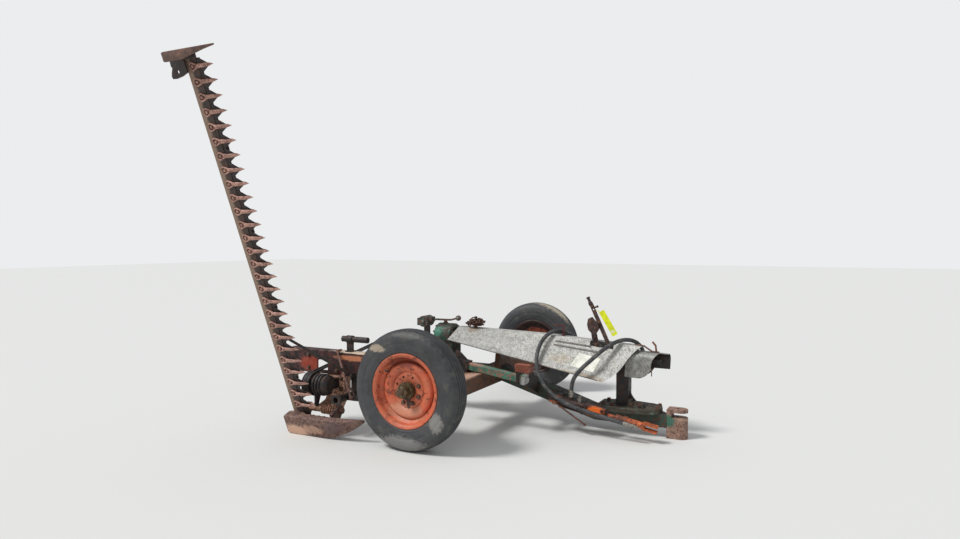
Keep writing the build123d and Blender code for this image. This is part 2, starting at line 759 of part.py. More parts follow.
# The sole's inboard edge stays on the ground when the bar is folded up.
shoe_inner_edge = (1 - cos(radians(fold_angle))) / sin(radians(fold_angle)) * hinge_height
shoe_outer_edge = shoe_inner_edge - shoe_width
bar_inner_end = 35


def across_bar(x):
    """Plane square to the bar's X: its first direction is inboard, its second up."""
    return Plane(bar_plane.from_local_coords(Vector(x, 0, 0)), x_dir=bar_plane.y_dir,
                 z_dir=bar_plane.x_dir)


def beside_bar(y):
    """Side view of the bar at this place inboard: X forward, up, extruded outboard."""
    return Plane(bar_plane.from_local_coords(Vector(0, y, 0)), x_dir=bar_plane.x_dir,
                 z_dir=-bar_plane.y_dir)


# The flat bar with its hold-down clips over the knife's back, and the stud for the transport rod
clip_thickness = 5
stud_place = -536
stud_x = bar_front - 16
stud_radius = 6
with BuildPart(bar_plane) as cutter_bar:
    with BuildSketch(bar_plane.offset(bar_low)):
        with Locations((-bar_rear, bar_outer_end)):
            Rectangle(bar_width, bar_inner_end - bar_outer_end, align=(Align.MIN, Align.MIN))
    extrude(amount=bar_thickness)
    for number in range(3, guard_count, 6):
        with Locations((bar_front - 30, -first_guard - (number - 0.5) * guard_pitch, bar_top)):
            Box(60, 26, clip_thickness, align=(Align.MIN, Align.CENTER, Align.MIN))
    with Locations((bar_front - 2, stud_place, bar_top)):
        Box(40, 34, 2.5, align=(Align.MAX, Align.CENTER, Align.MIN))
    with Locations((stud_x, stud_place, bar_top)):
        Cylinder(stud_radius, 17, align=from_base)
write(cutter_bar, "cutter_bar")

# One guard: two wings bolted under the bar and a finger that tapers to its tip, slit for the knife
slit_low = bar_low + 1
slit_height = 8
slit_length = 72
finger_width = 24
finger_low = bar_low - 16
guard_tip = bar_front + guard_length
with BuildPart() as one_guard:
    with BuildSketch(Plane.XY.offset(bar_low - wing_thickness)):
        with BuildLine():
            Polyline((bar_front - 62, -wing_width / 2), (bar_front - 36, -wing_width / 2),
                     (bar_front + 6, -finger_width / 2), (bar_front + 6, finger_width / 2),
                     (bar_front - 36, wing_width / 2), (bar_front - 62, wing_width / 2),
                     (bar_front - 46, 0), close=True)
        make_face()
    extrude(amount=wing_thickness)
    # The finger's cross-sections from root to tip: place, width, underside and top
    for x, across, low, high in ((bar_front + 1, finger_width, finger_low, bar_low + 1),
                                 (bar_front + 24, finger_width - 2, finger_low + 1, bar_low + 14),
                                 (bar_front + 74, finger_width - 6, finger_low + 4, bar_low + 12),
                                 (guard_tip, 4, bar_low - 3, bar_low + 1)):
        with BuildSketch(Plane.YZ.offset(x)):
            with Locations((0, (low + high) / 2)):
                Rectangle(across, high - low)
    loft(ruled=True)
    with BuildSketch(Plane.XY.offset(slit_low)):
        with Locations((bar_front - 2, 0)):
            Rectangle(slit_length, guard_pitch, align=(Align.MIN, Align.CENTER))
    extrude(amount=slit_height, mode=Mode.SUBTRACT)

with BuildPart(bar_plane) as guards:
    with Locations(*[(0, -first_guard - number * guard_pitch, 0) for number in range(guard_count)]):
        add(one_guard.part)
write(guards, "guards")

# Knife: a flat back, riveted triangular sections and the head that the drive arm moves.
# It runs in the guards' slits, half a stroke either way.
blade = 3
knife_x = bar_front + 4
knife_head = 40
knife_inner_end = -first_guard + (finger_width + knife_stroke) / 2 + knife_head + 1
with BuildPart(bar_plane) as knife:
    with BuildSketch(bar_plane.offset(slit_low + 1 + blade)):
        with Locations((knife_x, last_guard - guard_pitch / 2)):
            Rectangle(knife_back_width, knife_inner_end + guard_pitch / 2 - last_guard,
                      align=(Align.MIN, Align.MIN))
    extrude(amount=blade)
    with BuildSketch(bar_plane.offset(slit_low + 1)):
        for number in range(guard_count):
            with Locations((knife_x, -first_guard - number * guard_pitch)):
                Polygon((0, -guard_pitch / 2), (12, -guard_pitch / 2), (section_depth, -9),
                        (section_depth, 9), (12, guard_pitch / 2), (0, guard_pitch / 2),
                        align=None)
    extrude(amount=blade)
    with BuildSketch(bar_plane.offset(slit_low + 1 + 2 * blade)):
        with Locations((knife_x, knife_inner_end - knife_head)):
            Rectangle(30, knife_head, align=(Align.MIN, Align.MIN))
    extrude(amount=12)
write(knife, "knife")

# Inner shoe: a boat-shaped casting with its toe turned up, hollow above, with cross ribs and lugs
shoe_rear = -bar_rear - 40
shoe_toe = shoe_rear + shoe_length
shoe_wall = 10
shoe_rim = sole + 50
with BuildPart(bar_plane) as inner_shoe:
    with BuildSketch(beside_bar(shoe_inner_edge)):
        with BuildLine():
            Polyline((shoe_toe, sole + 66), (shoe_toe - 12, sole + 78), (shoe_toe - 150, sole + 58),
                     (bar_front + 10, shoe_rim), (bar_front + 10, bar_low), (shoe_rear, bar_low),
                     (shoe_rear, sole + 10), (shoe_rear + 22, sole), (shoe_toe - 270, sole))
            ThreePointArc((shoe_toe - 270, sole), (shoe_toe - 120, sole + 17),
                          (shoe_toe, sole + 66))
        make_face()
    extrude(amount=shoe_width)
    with BuildSketch(beside_bar(shoe_inner_edge - shoe_wall)):
        with BuildLine():
            Polyline((bar_front + 22, sole + shoe_floor), (shoe_toe - 262, sole + shoe_floor),
                     (shoe_toe - 120, sole + 34), (shoe_toe - 150, bar_low + 20),
                     (bar_front + 22, bar_low + 20), close=True)
        make_face()
    extrude(amount=shoe_width - 2 * shoe_wall, mode=Mode.SUBTRACT)
    for x in (-1950, -1890, -1790, -1750):
        with BuildSketch(across_bar(x)):
            with Locations((shoe_outer_edge, sole)):
                Rectangle(shoe_width, 44, align=(Align.MIN, Align.MIN))
        extrude(amount=6)
    for back, foot in ((rear_lug_back, bar_low), (front_lug_back, sole + shoe_floor)):
        with BuildSketch(across_bar(-back - lug_thickness / 2)):
            Circle(30)
            with BuildLine():
                Polyline((-26, 4), (-20, bar_top + 0.3), (bar_inner_end + 0.3, bar_top + 0.3),
                         (bar_inner_end + 0.3, foot), (shoe_inner_edge, foot), (26, 14),
                         close=True)
            make_face()
        extrude(amount=lug_thickness)
    with BuildSketch(across_bar(shoe_rear)):
        Circle(hinge_pin_radius + running_gap)
    extrude(amount=shoe_length, mode=Mode.SUBTRACT)
write(inner_shoe, "inner_shoe")

with BuildPart(bar_plane) as hinge_pin:
    with BuildSketch(across_bar(-rear_lug_back - lug_thickness / 2 - 18)):
        Circle(hinge_pin_radius)
    extrude(amount=rear_lug_back - front_lug_back + lug_thickness + 36)
    with BuildSketch(across_bar(-front_lug_back + lug_thickness / 2 + 1)):
        RegularPolygon(21, 6)
    extrude(amount=17)
write(hinge_pin, "hinge_pin")

# Outer shoe under the bar's far end: thin sole, upright web and the plate that ties it to the bar
outer_rear = -bar_rear - 80
outer_tip = outer_rear + outer_shoe_length
outer_inner = bar_outer_end + 36
with BuildPart(bar_plane) as outer_shoe:
    with BuildSketch(beside_bar(outer_inner)):
        with BuildLine():
            Polyline((outer_tip, sole + 58), (outer_tip - 22, sole + 66), (bar_front, bar_low - 24),
                     (bar_front, bar_low), (-bar_rear, bar_low), (outer_rear, bar_low - 30),
                     (outer_rear, sole + 8), (outer_rear + 26, sole), (outer_tip - 150, sole))
            ThreePointArc((outer_tip - 150, sole), (outer_tip - 66, sole + 16),
                          (outer_tip, sole + 58))
        make_face()
    extrude(amount=outer_shoe_width)
    with BuildSketch(beside_bar(outer_inner)):
        with Locations((outer_rear + 16, sole + 14)):
            Rectangle(outer_shoe_length - 160, bar_low - sole, align=(Align.MIN, Align.MIN))
    extrude(amount=outer_shoe_width - 14, mode=Mode.SUBTRACT)
    with BuildSketch(bar_plane.offset(bar_low - 8)):
        with Locations((-bar_rear, outer_inner - outer_shoe_width)):
            Rectangle(bar_width, outer_shoe_width, align=(Align.MIN, Align.MIN))
    extrude(amount=8)
    with BuildSketch(bar_plane.offset(bar_low - 22)):
        with BuildLine():
            Polyline((outer_rear + 4, outer_inner - outer_shoe_width), (-bar_rear + 16, outer_inner),
                     (-bar_rear + 16, outer_inner + 78), (-bar_rear - 30, outer_inner + 86),
                     (outer_rear + 4, outer_inner + 40), close=True)
        make_face()
        with Locations((-bar_rear - 26, outer_inner + 50)):
            Circle(9, mode=Mode.SUBTRACT)
    extrude(amount=10)
write(outer_shoe, "outer_shoe")

# Hanger under the red arm: a web, the hinge barrel with its ring ribs and an upright ear
barrel_rear = -rear_lug_back + lug_thickness / 2 + 1
barrel_front = -front_lug_back - lug_thickness / 2 - 1
web_front = barrel_front - 8
web_rear = -sheave_back + 8
with BuildPart() as bar_hanger:
    with BuildSketch(Plane.YZ.offset(web_rear)):
        with BuildLine():
            Polyline((arm_outer + 5, up(beam_top)), (arm_inner, up(beam_top)),
                     (arm_inner, up(hinge_height + 90)), (hinge_y + 62, up(hinge_height - 16)),
                     (hinge_y, up(hinge_height - hinge_barrel_radius)),
                     (hinge_y, up(hinge_height + hinge_barrel_radius)),
                     (hinge_y + 55, up(hinge_height + 42)), (arm_outer + 5, up(hinge_height + 78)),
                     close=True)
        make_face()
    extrude(amount=web_front - web_rear)
    with BuildSketch(Plane.YZ.offset(barrel_rear)):
        with Locations((hinge_y, up(hinge_height))):
            Circle(hinge_barrel_radius)
    extrude(amount=barrel_front - barrel_rear)
    for number in range(6):
        with BuildSketch(Plane.YZ.offset(web_front - 10 - number * 17)):
            with Locations((hinge_y, up(hinge_height))):
                Circle(hinge_barrel_radius + 9)
        extrude(amount=6)
    with BuildSketch(Plane.YZ.offset(web_front - 18)):
        with BuildLine():
            Polyline((hinge_y - 22, up(hinge_height + 10)), (hinge_y + 40, up(hinge_height + 10)),
                     (hinge_y + 30, up(hinge_height + 112)), (hinge_y, up(hinge_height + 126)),
                     (hinge_y - 16, up(hinge_height + 112)), close=True)
        make_face()
        with Locations((hinge_y + 8, up(hinge_height + 104))):
            Circle(8, mode=Mode.SUBTRACT)
    extrude(amount=14)
    with BuildSketch(Plane.YZ.offset(barrel_rear)):
        with Locations((hinge_y, up(hinge_height))):
            Circle(hinge_pin_radius + running_gap)
    extrude(amount=barrel_front - barrel_rear, mode=Mode.SUBTRACT)
write(bar_hanger, "bar_hanger")

# Brace tube from under the spine out past the red arm, with its saddle, hanger and rod plate
brace_back = 1785
brace_radius = 22
brace_height = spine_top - spine_height - brace_radius
brace_end = hinge_y - 88
rod_plate_y = hinge_y + 12
with BuildPart() as brace_tube:
    with BuildSketch(Plane.XZ.offset(-tongue_width / 2)):
        with Locations((-brace_back, up(brace_height))):
            Circle(brace_radius)
    extrude(amount=tongue_width / 2 - brace_end)
    with Locations((-brace_back, 0, up(brace_height))):
        Box(2 * brace_radius, tongue_width, brace_radius, align=(Align.CENTER, Align.CENTER, Align.MIN))
    with Locations((-brace_back, (arm_outer + arm_inner) / 2, up(brace_height))):
        Box(60, 12, beam_top - brace_height, align=from_base)
    with Locations((-brace_back, rod_plate_y, up(brace_height))):
        Box(2 * brace_radius + 44, 12, 34, align=(Align.MIN, Align.CENTER, Align.CENTER))
    with Locations((-brace_back, brace_end + 3, up(brace_height))):
        Box(70, 6, 52)
    with BuildSketch(Plane.XZ.offset(-tongue_width / 2)):
        with Locations((-brace_back, up(brace_height))):
            Circle(brace_radius - 5)
    extrude(amount=tongue_width / 2 - brace_end, mode=Mode.SUBTRACT)
write(brace_tube, "brace_tube")

# Transport rod: bolted to the red arm, its flat eye round a stud on the folded bar
rod_size = 8
rod_foot = Vector(-1771, arm_outer - 22, up(beam_top + 14))
eye_plane = Plane(bar_plane.from_local_coords(Vector(stud_x, stud_place, bar_top + 3)),
                  x_dir=bar_plane.x_dir, z_dir=bar_plane.z_dir)
rod_head = bar_plane.from_local_coords(Vector(stud_x + 13, stud_place + 10, bar_top + 14))
with BuildPart() as transport_rod:
    with BuildSketch(Plane(rod_foot, z_dir=(rod_head - rod_foot).normalized())):
        Circle(rod_size)
    extrude(amount=(rod_head - rod_foot).length)
    with BuildSketch(eye_plane):
        Circle(20)
    extrude(amount=10)
    with BuildSketch(eye_plane):
        Circle(stud_radius + 3)
    extrude(amount=40, both=True, mode=Mode.SUBTRACT)
    with BuildSketch(Plane.XZ.offset(-arm_outer)):
        with Locations((rod_foot.X, up(beam_top + 14))):
            Circle(11)
    extrude(amount=36)
write(transport_rod, "transport_rod")

# Two thin rods on the plate of the brace tube: one hooked over the red arm, one eyed to its web
plate_side = 6 + running_gap
with BuildPart() as tilt_rods:
    long_low = Vector(-1736, rod_plate_y - plate_side - 12, up(brace_height + 2))
    long_high = Vector(-1890, arm_outer - 8, up(arm_top + 6))
    with BuildSketch(Plane(long_low, z_dir=(long_high - long_low).normalized())):
        Circle(7)
    extrude(amount=(long_high - long_low).length)
    with BuildSketch(Plane.XZ.offset(plate_side - rod_plate_y)):
        with Locations((long_low.X, long_low.Z)):
            Circle(10)
    extrude(amount=16)
    with BuildSketch(Plane.YZ.offset(long_high.X - 7)):
        with BuildLine():
            Polyline((arm_outer - 15, up(arm_top + 0.3)), (arm_outer + 30, up(arm_top + 0.3)),
                     (arm_outer + 30, up(arm_top + 12)), (arm_outer - 15, up(arm_top + 12)),
                     close=True)
        make_face()
    extrude(amount=14)
    short_low = Vector(-1724, rod_plate_y + plate_side + 5, up(brace_height - 2))
    short_high = Vector(-1838, arm_outer - 20, up(beam_top + 12))
    with BuildSketch(Plane(short_low, z_dir=(short_high - short_low).normalized())):
        Circle(5)
    extrude(amount=(short_high - short_low).length)
    with BuildSketch(Plane.XZ.offset(-arm_outer)):
        with Locations((short_high.X, short_high.Z)):
            Circle(9)
    extrude(amount=27)
write(tilt_rods, "tilt_rods")

# Knife drive: jackshaft with the drive sheave, two belts, driven sheave and ribbed drive head
groove_pitch = 26
groove_depth = 12


def sheave_outline(radius, hub):
    """Half section of a two-groove sheave: along its axis from its front face, and radius."""
    middle = sheave_width / 2
    points = [(0, hub), (0, radius)]
    for centre in (middle - groove_pitch / 2, middle + groove_pitch / 2):
        points += [(centre - 9, radius), (centre - 6, radius - groove_depth),
                   (centre + 6, radius - groove_depth), (centre + 9, radius)]
    return points + [(sheave_width, radius), (sheave_width, hub)]


jack_plane = Plane(origin=(-sheave_back, 0, up(jack_height)), x_dir=(-1, 0, 0), z_dir=(0, 1, 0))
jack_axis = Axis((0, 0, up(jack_height)), (1, 0, 0))
head_plane = Plane(origin=(-sheave_back, head_y, up(head_height)), x_dir=(-1, 0, 0),
                   z_dir=(0, 1, 0))
head_axis = Axis((0, head_y, up(head_height)), (1, 0, 0))
with BuildPart() as jackshaft:
    with BuildSketch(jack_plane):
        Polygon(*sheave_outline(drive_sheave_radius, 0), align=None)
    revolve(axis=jack_axis)
    with BuildSketch(Plane.YZ.offset(-sheave_back - sheave_width - 14)):
        with Locations((0, up(jack_height))):
            Circle(jack_radius)
    extrude(amount=sheave_back + sheave_width + 14 - case_front - case_length + case_socket - 2)
write(jackshaft, "jackshaft")

belt_gap = 0.4
with BuildPart() as belts:
    for number in (-1, 1):
        middle = sheave_back + sheave_width / 2 + number * groove_pitch / 2
        with BuildSketch(Plane.YZ.offset(-middle - 5)):
            for grow, kind in ((belt_depth + belt_gap, Mode.ADD), (belt_gap, Mode.SUBTRACT)):
                large = drive_sheave_radius - groove_depth + grow
                small = driven_sheave_radius - groove_depth + grow
                with BuildSketch(mode=kind) as loop:
                    with Locations((0, up(jack_height))):
                        Circle(large)
                    with Locations((head_y, up(head_height))):
                        Circle(small)
                    make_hull(loop.sketch.edges())
        extrude(amount=10)
write(belts, "belts")

with BuildPart() as driven_sheave:
    with BuildSketch(head_plane):
        Polygon(*sheave_outline(driven_sheave_radius, 0), align=None)
    revolve(axis=head_axis)
    with BuildSketch(Plane.YZ.offset(-sheave_back)):
        with Locations((head_y, up(head_height))):
            Circle(16)
    extrude(amount=30)
write(driven_sheave, "driven_sheave")

head_rear = sheave_back - 7
with BuildPart() as drive_head:
    with BuildSketch(Plane(origin=(-head_rear, head_y, up(head_height)), x_dir=(1, 0, 0),
                           z_dir=(0, -1, 0))):
        with BuildLine():
            Polyline((0, 0), (0, head_radius - 10), (12, head_radius - 10), (12, head_radius),
                     (24, head_radius), (24, head_radius - 7), (34, head_radius - 7),
                     (34, head_radius), (46, head_radius), (46, head_radius - 7),
                     (56, head_radius - 7), (56, head_radius), (68, head_radius),
                     (68, head_radius - 7), (head_length - 14, head_radius - 7),
                     (head_length, head_radius - 24), (head_length, 0), close=True)
        make_face()
    revolve(axis=head_axis)
    with BuildSketch(Plane.YZ.offset(-head_rear + 46)):
        with Locations((arm_outer + 5, up(head_height))):
            Rectangle(arm_outer + 5 - head_y, 60, align=(Align.MAX, Align.CENTER))
    extrude(amount=46)
    with BuildSketch(Plane.YZ.offset(-head_rear + 14)):
        with BuildLine():
            Polyline((head_y - 40, up(head_height - 45)), (head_y + 6, up(head_height - 55)),
                     (head_y - 17, up(head_height - 116)), (head_y - 38, up(head_height - 118)),
                     close=True)
        make_face()
        with Locations((head_y - 27, up(head_height - 118))):
            Circle(12)
    extrude(amount=16)
    with BuildSketch(Plane.YZ.offset(-head_rear)):
        with Locations((head_y, up(head_height))):
            Circle(16 + running_gap)
    extrude(amount=25, mode=Mode.SUBTRACT)
write(drive_head, "drive_head")

# Hose from the cylinder's port up over the shield by the levers, back behind the ridge, over it
# again at its clip and down to the coupler that hangs in front
hose_route = [(-600, -196, 232), (-593, -214, 316), (-542, -232, 390), (-470, -192, 463),
              (-412, -114, 525), (-342, -36, 569), (-272, 40, 558), (-236, 112, 490),
              (-264, 186, 410), (-360, 226, 370), (-482, 216, 384), (-592, 146, 468),
              (-684, 74, 559), (-762, -2, 604), (-818, -94, 566), (-834, -178, 474),
              (-812, -232, 369), (-740, -250, 263), (-628, -248, 193), (-448, -246, 147),
              (-264, -244, 112)]
route = [Vector(x, y, up(height)) for x, y, height in hose_route]

# Hydraulic cylinder beside the drawbar plate. Its pins stand upright, its fork is open to the front.
cylinder_rear = Vector(-715, cylinder_y, up(203))
cylinder_front = Vector(-110, cylinder_y, up(88))
cylinder_plane = Plane(origin=cylinder_rear, x_dir=(0, 1, 0),
                       z_dir=(cylinder_front - cylinder_rear).normalized())
cylinder_length = (cylinder_front - cylinder_rear).length
barrel_start = 52
head_start = 198
block_length = 134
shank_start = 399
shank_length = 160
fork_gap = 20
prong = 12
with BuildPart(cylinder_plane) as cylinder_barrel:
    with Locations((0, 0, barrel_start - 14)):
        Cylinder(barrel_radius, head_start - barrel_start + 14, align=from_base)
    with Locations((-barrel_radius, 0, head_start - 24)):
        Box(20, 30, 40)
    with Locations((0, 0, head_start)):
        Box(52, 52, block_length, align=from_base)
    with Locations((0, 0, barrel_start - 14)):
        Box(44, 2 * prong + fork_gap, 14, align=from_base)
    for side in (-1, 1):
        with Locations((0, side * (fork_gap + prong) / 2, barrel_start - 14)):
            Box(40, prong, 60, align=(Align.CENTER, Align.CENTER, Align.MAX))
    with BuildSketch(Plane(cylinder_rear, x_dir=cylinder_plane.x_dir, z_dir=cylinder_plane.y_dir)):
        Circle(cylinder_pin_radius)
    extrude(amount=fork_gap + prong, both=True, mode=Mode.SUBTRACT)
    with Locations((0, 0, barrel_start + 8)):
        Cylinder(rod_radius + running_gap, head_start + block_length - barrel_start,
                 align=from_base, mode=Mode.SUBTRACT)
    # Tie rod above the barrel, held by its end blocks
    with Locations((0, -barrel_radius - 9, barrel_start - 12)):
        Cylinder(6, head_start - barrel_start + 20, align=from_base)
    for place in (barrel_start - 8, head_start - 10):
        with Locations((0, -barrel_radius - 4, place)):
            Box(18, 26, 10, align=from_base)
    # Port with its upright fitting
    with BuildSketch(Plane(route[0], z_dir=(route[0] - route[1]).normalized())):
        Circle(15)
    extrude(amount=34)
write(cylinder_barrel, "cylinder_barrel")

rod_inside = 200
with BuildPart(cylinder_plane) as cylinder_rod:
    with Locations((0, 0, head_start + block_length - rod_inside)):
        Cylinder(rod_radius, shank_start - head_start - block_length + rod_inside,
                 align=from_base)
    with Locations((0, 0, shank_start)):
        Cylinder(shank_radius, shank_length, align=from_base)
    with Locations((0, 0, shank_start + 46)):
        Cylinder(shank_radius + 4, 22, align=from_base)
    with Locations((0, 0, shank_start + shank_length)):
        Box(42, 2 * prong + fork_gap, 14, align=from_base)
    for side in (-1, 1):
        with Locations((0, side * (fork_gap + prong) / 2, shank_start + shank_length)):
            Box(40, prong, cylinder_length - shank_start - shank_length + 30, align=from_base)
write(cylinder_rod, "cylinder_rod")

# Lugs on the tongue for the cylinder: the rear one holds its pin, the front one stands in the fork
lug_reach = cylinder_y + tongue_width / 2
with BuildPart(cylinder_plane) as cylinder_lugs:
    with Locations((-lug_reach, 0, 0)):
        Box(24 - lug_reach, fork_gap - 2, 44, align=(Align.MAX, Align.CENTER, Align.CENTER))
    with BuildSketch(Plane(cylinder_rear, x_dir=cylinder_plane.x_dir, z_dir=cylinder_plane.y_dir)):
        Circle(cylinder_pin_radius - running_gap)
    extrude(amount=fork_gap / 2 + prong + 6, both=True)
write(cylinder_lugs, "cylinder_lugs")

# Hydraulic hose along its route
bends = []
for before, corner, after in zip(route, route[1:], route[2:]):
    turn = radians((corner - before).get_angle(after - corner))
    shorter = min((corner - before).length, (after - corner).length)
    bends.append(0.45 * shorter / tan(turn / 2))
print("hose bends:", [round(radius) for radius in bends])
with BuildPart() as hose:
    with BuildLine() as hose_line:
        FilletPolyline(*route, radius=bends)
    with BuildSketch(Plane(route[0], z_dir=(route[1] - route[0]).normalized())):
        Circle(hose_radius)
    sweep(path=hose_line.line)
print("hose length:", round(hose_line.wires()[0].length))
write(hose, "hose")

# Coupler on the hose's free end
coupler_plane = Plane(route[-1], z_dir=(route[-1] - route[-2]).normalized())
with BuildPart(coupler_plane) as hose_coupler:
    Cylinder(15, 42, align=from_base)
    with Locations((0, 0, 42)):
        Cylinder(11, 46, align=from_base)
write(hose_coupler, "hose_coupler")

# Clip on the ridge that holds the hose
clip_back = 722
with BuildPart() as hose_clip:
    with BuildSketch(Plane.XZ.offset(-4)):
        with BuildLine():
            Polyline((-clip_back, up(shield_at(clip_back, 1) + 2 * running_gap)),
                     (-clip_back, up(628)), (-clip_back - 66, up(628)))
        trace(line_width=8)
    extrude(amount=-8)
write(hose_clip, "hose_clip")
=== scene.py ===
"""A towed sickle bar mower, parked with its cutter bar folded up, dressed for its portrait.

Metres in the frame of the model: X forward to the tractor, Y to the left wheel, Z up, origin at
the hitch pin. The ground lies 140 mm below the origin.
"""
from math import atan2, cos, degrees, pi, radians, sin, tan

import bpy
from mathutils import Matrix, Vector


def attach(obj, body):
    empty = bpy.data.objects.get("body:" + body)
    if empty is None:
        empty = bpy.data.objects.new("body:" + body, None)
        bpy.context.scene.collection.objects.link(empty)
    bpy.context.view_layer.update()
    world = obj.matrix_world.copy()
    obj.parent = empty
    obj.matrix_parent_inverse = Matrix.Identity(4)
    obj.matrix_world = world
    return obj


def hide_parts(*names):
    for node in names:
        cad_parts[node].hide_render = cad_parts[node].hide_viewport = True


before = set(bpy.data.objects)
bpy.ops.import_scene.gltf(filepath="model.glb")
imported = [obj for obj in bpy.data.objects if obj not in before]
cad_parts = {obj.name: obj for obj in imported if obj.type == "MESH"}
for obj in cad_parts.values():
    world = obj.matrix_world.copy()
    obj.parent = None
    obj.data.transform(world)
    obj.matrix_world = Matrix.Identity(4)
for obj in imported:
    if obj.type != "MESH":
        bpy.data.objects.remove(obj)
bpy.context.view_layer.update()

# The camera stands by the right front corner at eye height. Its place and direction were worked
# out from the wheels and the row of guards.
bpy.ops.object.select_all(action="DESELECT")
camera_place = Vector((0.816, -4.189, 1.029))
camera_look = Vector((-0.4536, 0.8902, -0.0415))
bpy.ops.object.camera_add(location=camera_place, rotation=camera_look.to_track_quat("-Z", "Y").to_euler())
camera = bpy.context.object
camera.data.sensor_width = 36
camera.data.lens = 26.25
bpy.context.scene.camera = camera
bpy.context.scene.view_settings.view_transform = "Standard"

# The hydraulic hose is one 25 mm rubber hose with a wire braid inside. It leaves the cylinder's port
# upwards, crosses the shield by the levers, comes back over the ridge and hangs to its coupler.
ground = -0.140


def up(height):
    """Z of a height above the ground."""
    return ground + height


def tone(red, green, blue):
    """A colour as the eye sees it, 0 to 255, as the linear values of a shader."""
    parts = [value / 255 for value in (red, green, blue)]
    return [part / 12.92 if part <= 0.04 else ((part + 0.055) / 1.055) ** 2.4 for part in parts] + [1.0]


def feed(material, socket, value):
    """Give an input its value, or link it to the output that feeds it."""
    if isinstance(value, bpy.types.NodeSocket):
        material.node_tree.links.new(value, socket)
    else:
        socket.default_value = value


def add_node(material, kind, inputs, operation=None):
    """A new shader node of this kind, with what goes into each of its inputs."""
    node = material.node_tree.nodes.new("ShaderNode" + kind)
    if operation:
        node.operation = operation
    for name, value in inputs.items():
        feed(material, node.inputs[name], value)
    return node


def blend(material, factor, first, second, kind="MIX"):
    """The mix of two colours, each a colour or the output of a node."""
    mix = material.node_tree.nodes.new("ShaderNodeMix")
    mix.data_type = "RGBA"
    mix.blend_type = kind
    for name, value in (("Factor", factor), ("A", first), ("B", second)):
        feed(material, mix.inputs[name], value)
    return mix.outputs["Result"]


def worn(name, coat, faded, rust, bare, size, rough=(0.6, 0.9), metallic=0.0, depth=0.0008, streak=1.0,
         grain=0.24):
    """A surface that has faded in clouds and rusted in patches, with a grain that can be felt.

    bare is the share that has rusted, size the breadth of a cloud in metres, depth the relief.
    """
    material = bpy.data.materials.new(name)
    material.use_nodes = True
    place = add_node(material, "TexCoord", {}).outputs["Object"]
    stretch = add_node(material, "Mapping", {"Vector": place, "Scale": (1.0, 1.0, streak)})

    def cloud(scale, detail, low, high):
        noise = add_node(
            material, "TexNoise",
            {"Vector": stretch.outputs["Vector"], "Scale": scale, "Detail": detail, "Roughness": 0.68})
        limits = add_node(
            material, "MapRange", {"Value": noise.outputs["Fac"], "From Min": low, "From Max": high})
        limits.interpolation_type = "SMOOTHSTEP"
        return limits.outputs["Result"]

    def spread(value, low, high):
        return add_node(material, "MapRange", {"Value": value, "To Min": low, "To Max": high}).outputs["Result"]

    edge = 0.63 - 0.32 * bare
    clouds = cloud(1 / size, 5, 0.36, 0.64)
    patches = cloud(2.6 / size, 9, edge - 0.03, edge + 0.05)
    speckle = cloud(60 / size ** 0.5, 3, 0.25, 0.75)
    grime = cloud(0.7 / size, 4, 0.40, 0.75)
    shade = blend(material, clouds, tone(*coat), tone(*faded))
    shade = blend(material, patches, shade, tone(*rust))
    shade = blend(material, 1.0, shade, spread(speckle, 1 - grain, 1 + grain / 2), "MULTIPLY")
    shade = blend(material, 1.0, shade, spread(grime, 1.0, 0.6), "MULTIPLY")
    relief = add_node(material, "Math", {0: speckle, 1: 0.5, 2: patches}, "MULTIPLY_ADD")
    bump = add_node(material, "Bump", {"Strength": 0.6, "Distance": depth, "Height": relief.outputs["Value"]})
    shader = material.node_tree.nodes["Principled BSDF"].inputs
    feed(material, shader["Metallic"], metallic)
    feed(material, shader["Base Color"], shade)
    feed(material, shader["Roughness"], spread(patches, *rough))
    feed(material, shader["Normal"], bump.outputs["Normal"])
    return material


def lay_over(material, share, tint):
    """Cover the colour of a surface with a tint, by a share that varies from place to place."""
    colour = material.node_tree.nodes["Principled BSDF"].inputs["Base Color"]
    feed(material, colour, blend(material, share, colour.links[0].from_socket, tone(*tint)))


def stain(material, tint, place, reach, strength=0.8, breakup=0.04):
    """Lay a cloudy stain on a surface: strongest at its place, gone at its reach along X, Y and Z."""
    where = add_node(material, "TexCoord", {}).outputs["Object"]
    centred = add_node(material, "Mapping", {"Vector": where, "Location": place, "Scale": reach})
    centred.vector_type = "TEXTURE"
    away = add_node(material, "VectorMath", {0: centred.outputs["Vector"]}, "LENGTH")
    noise = add_node(
        material, "TexNoise", {"Vector": where, "Scale": 1 / breakup, "Detail": 6, "Roughness": 0.65})
    ragged = add_node(
        material, "Math", {0: noise.outputs["Fac"], 1: 1.1, 2: away.outputs["Value"]}, "MULTIPLY_ADD")
    fade = add_node(
        material, "MapRange",
        {"Value": ragged.outputs["Value"], "From Min": 1.45, "From Max": 1.05, "To Max": strength})
    fade.interpolation_type = "SMOOTHSTEP"
    lay_over(material, fade.outputs["Result"], tint)


hose_rubber = worn(
    "hose_rubber", (52, 53, 56), (78, 78, 79), (104, 102, 96), 0.25, 0.06, (0.55, 0.8), depth=0.0004)
hose_route = [
    (-600, -196, 232), (-593, -214, 316), (-542, -232, 390), (-470, -192, 463), (-412, -114, 525),
    (-342, -36, 569), (-272, 40, 558), (-236, 112, 490), (-264, 186, 410), (-360, 226, 370), (-482, 216, 384),
    (-592, 146, 468), (-684, 74, 559), (-762, -2, 604), (-818, -94, 566), (-834, -178, 474), (-812, -232, 369),
    (-740, -250, 263), (-628, -248, 193), (-448, -246, 147), (-264, -244, 112)]
route = [Vector((x / 1000, y / 1000, up(height / 1000))) for x, y, height in hose_route]


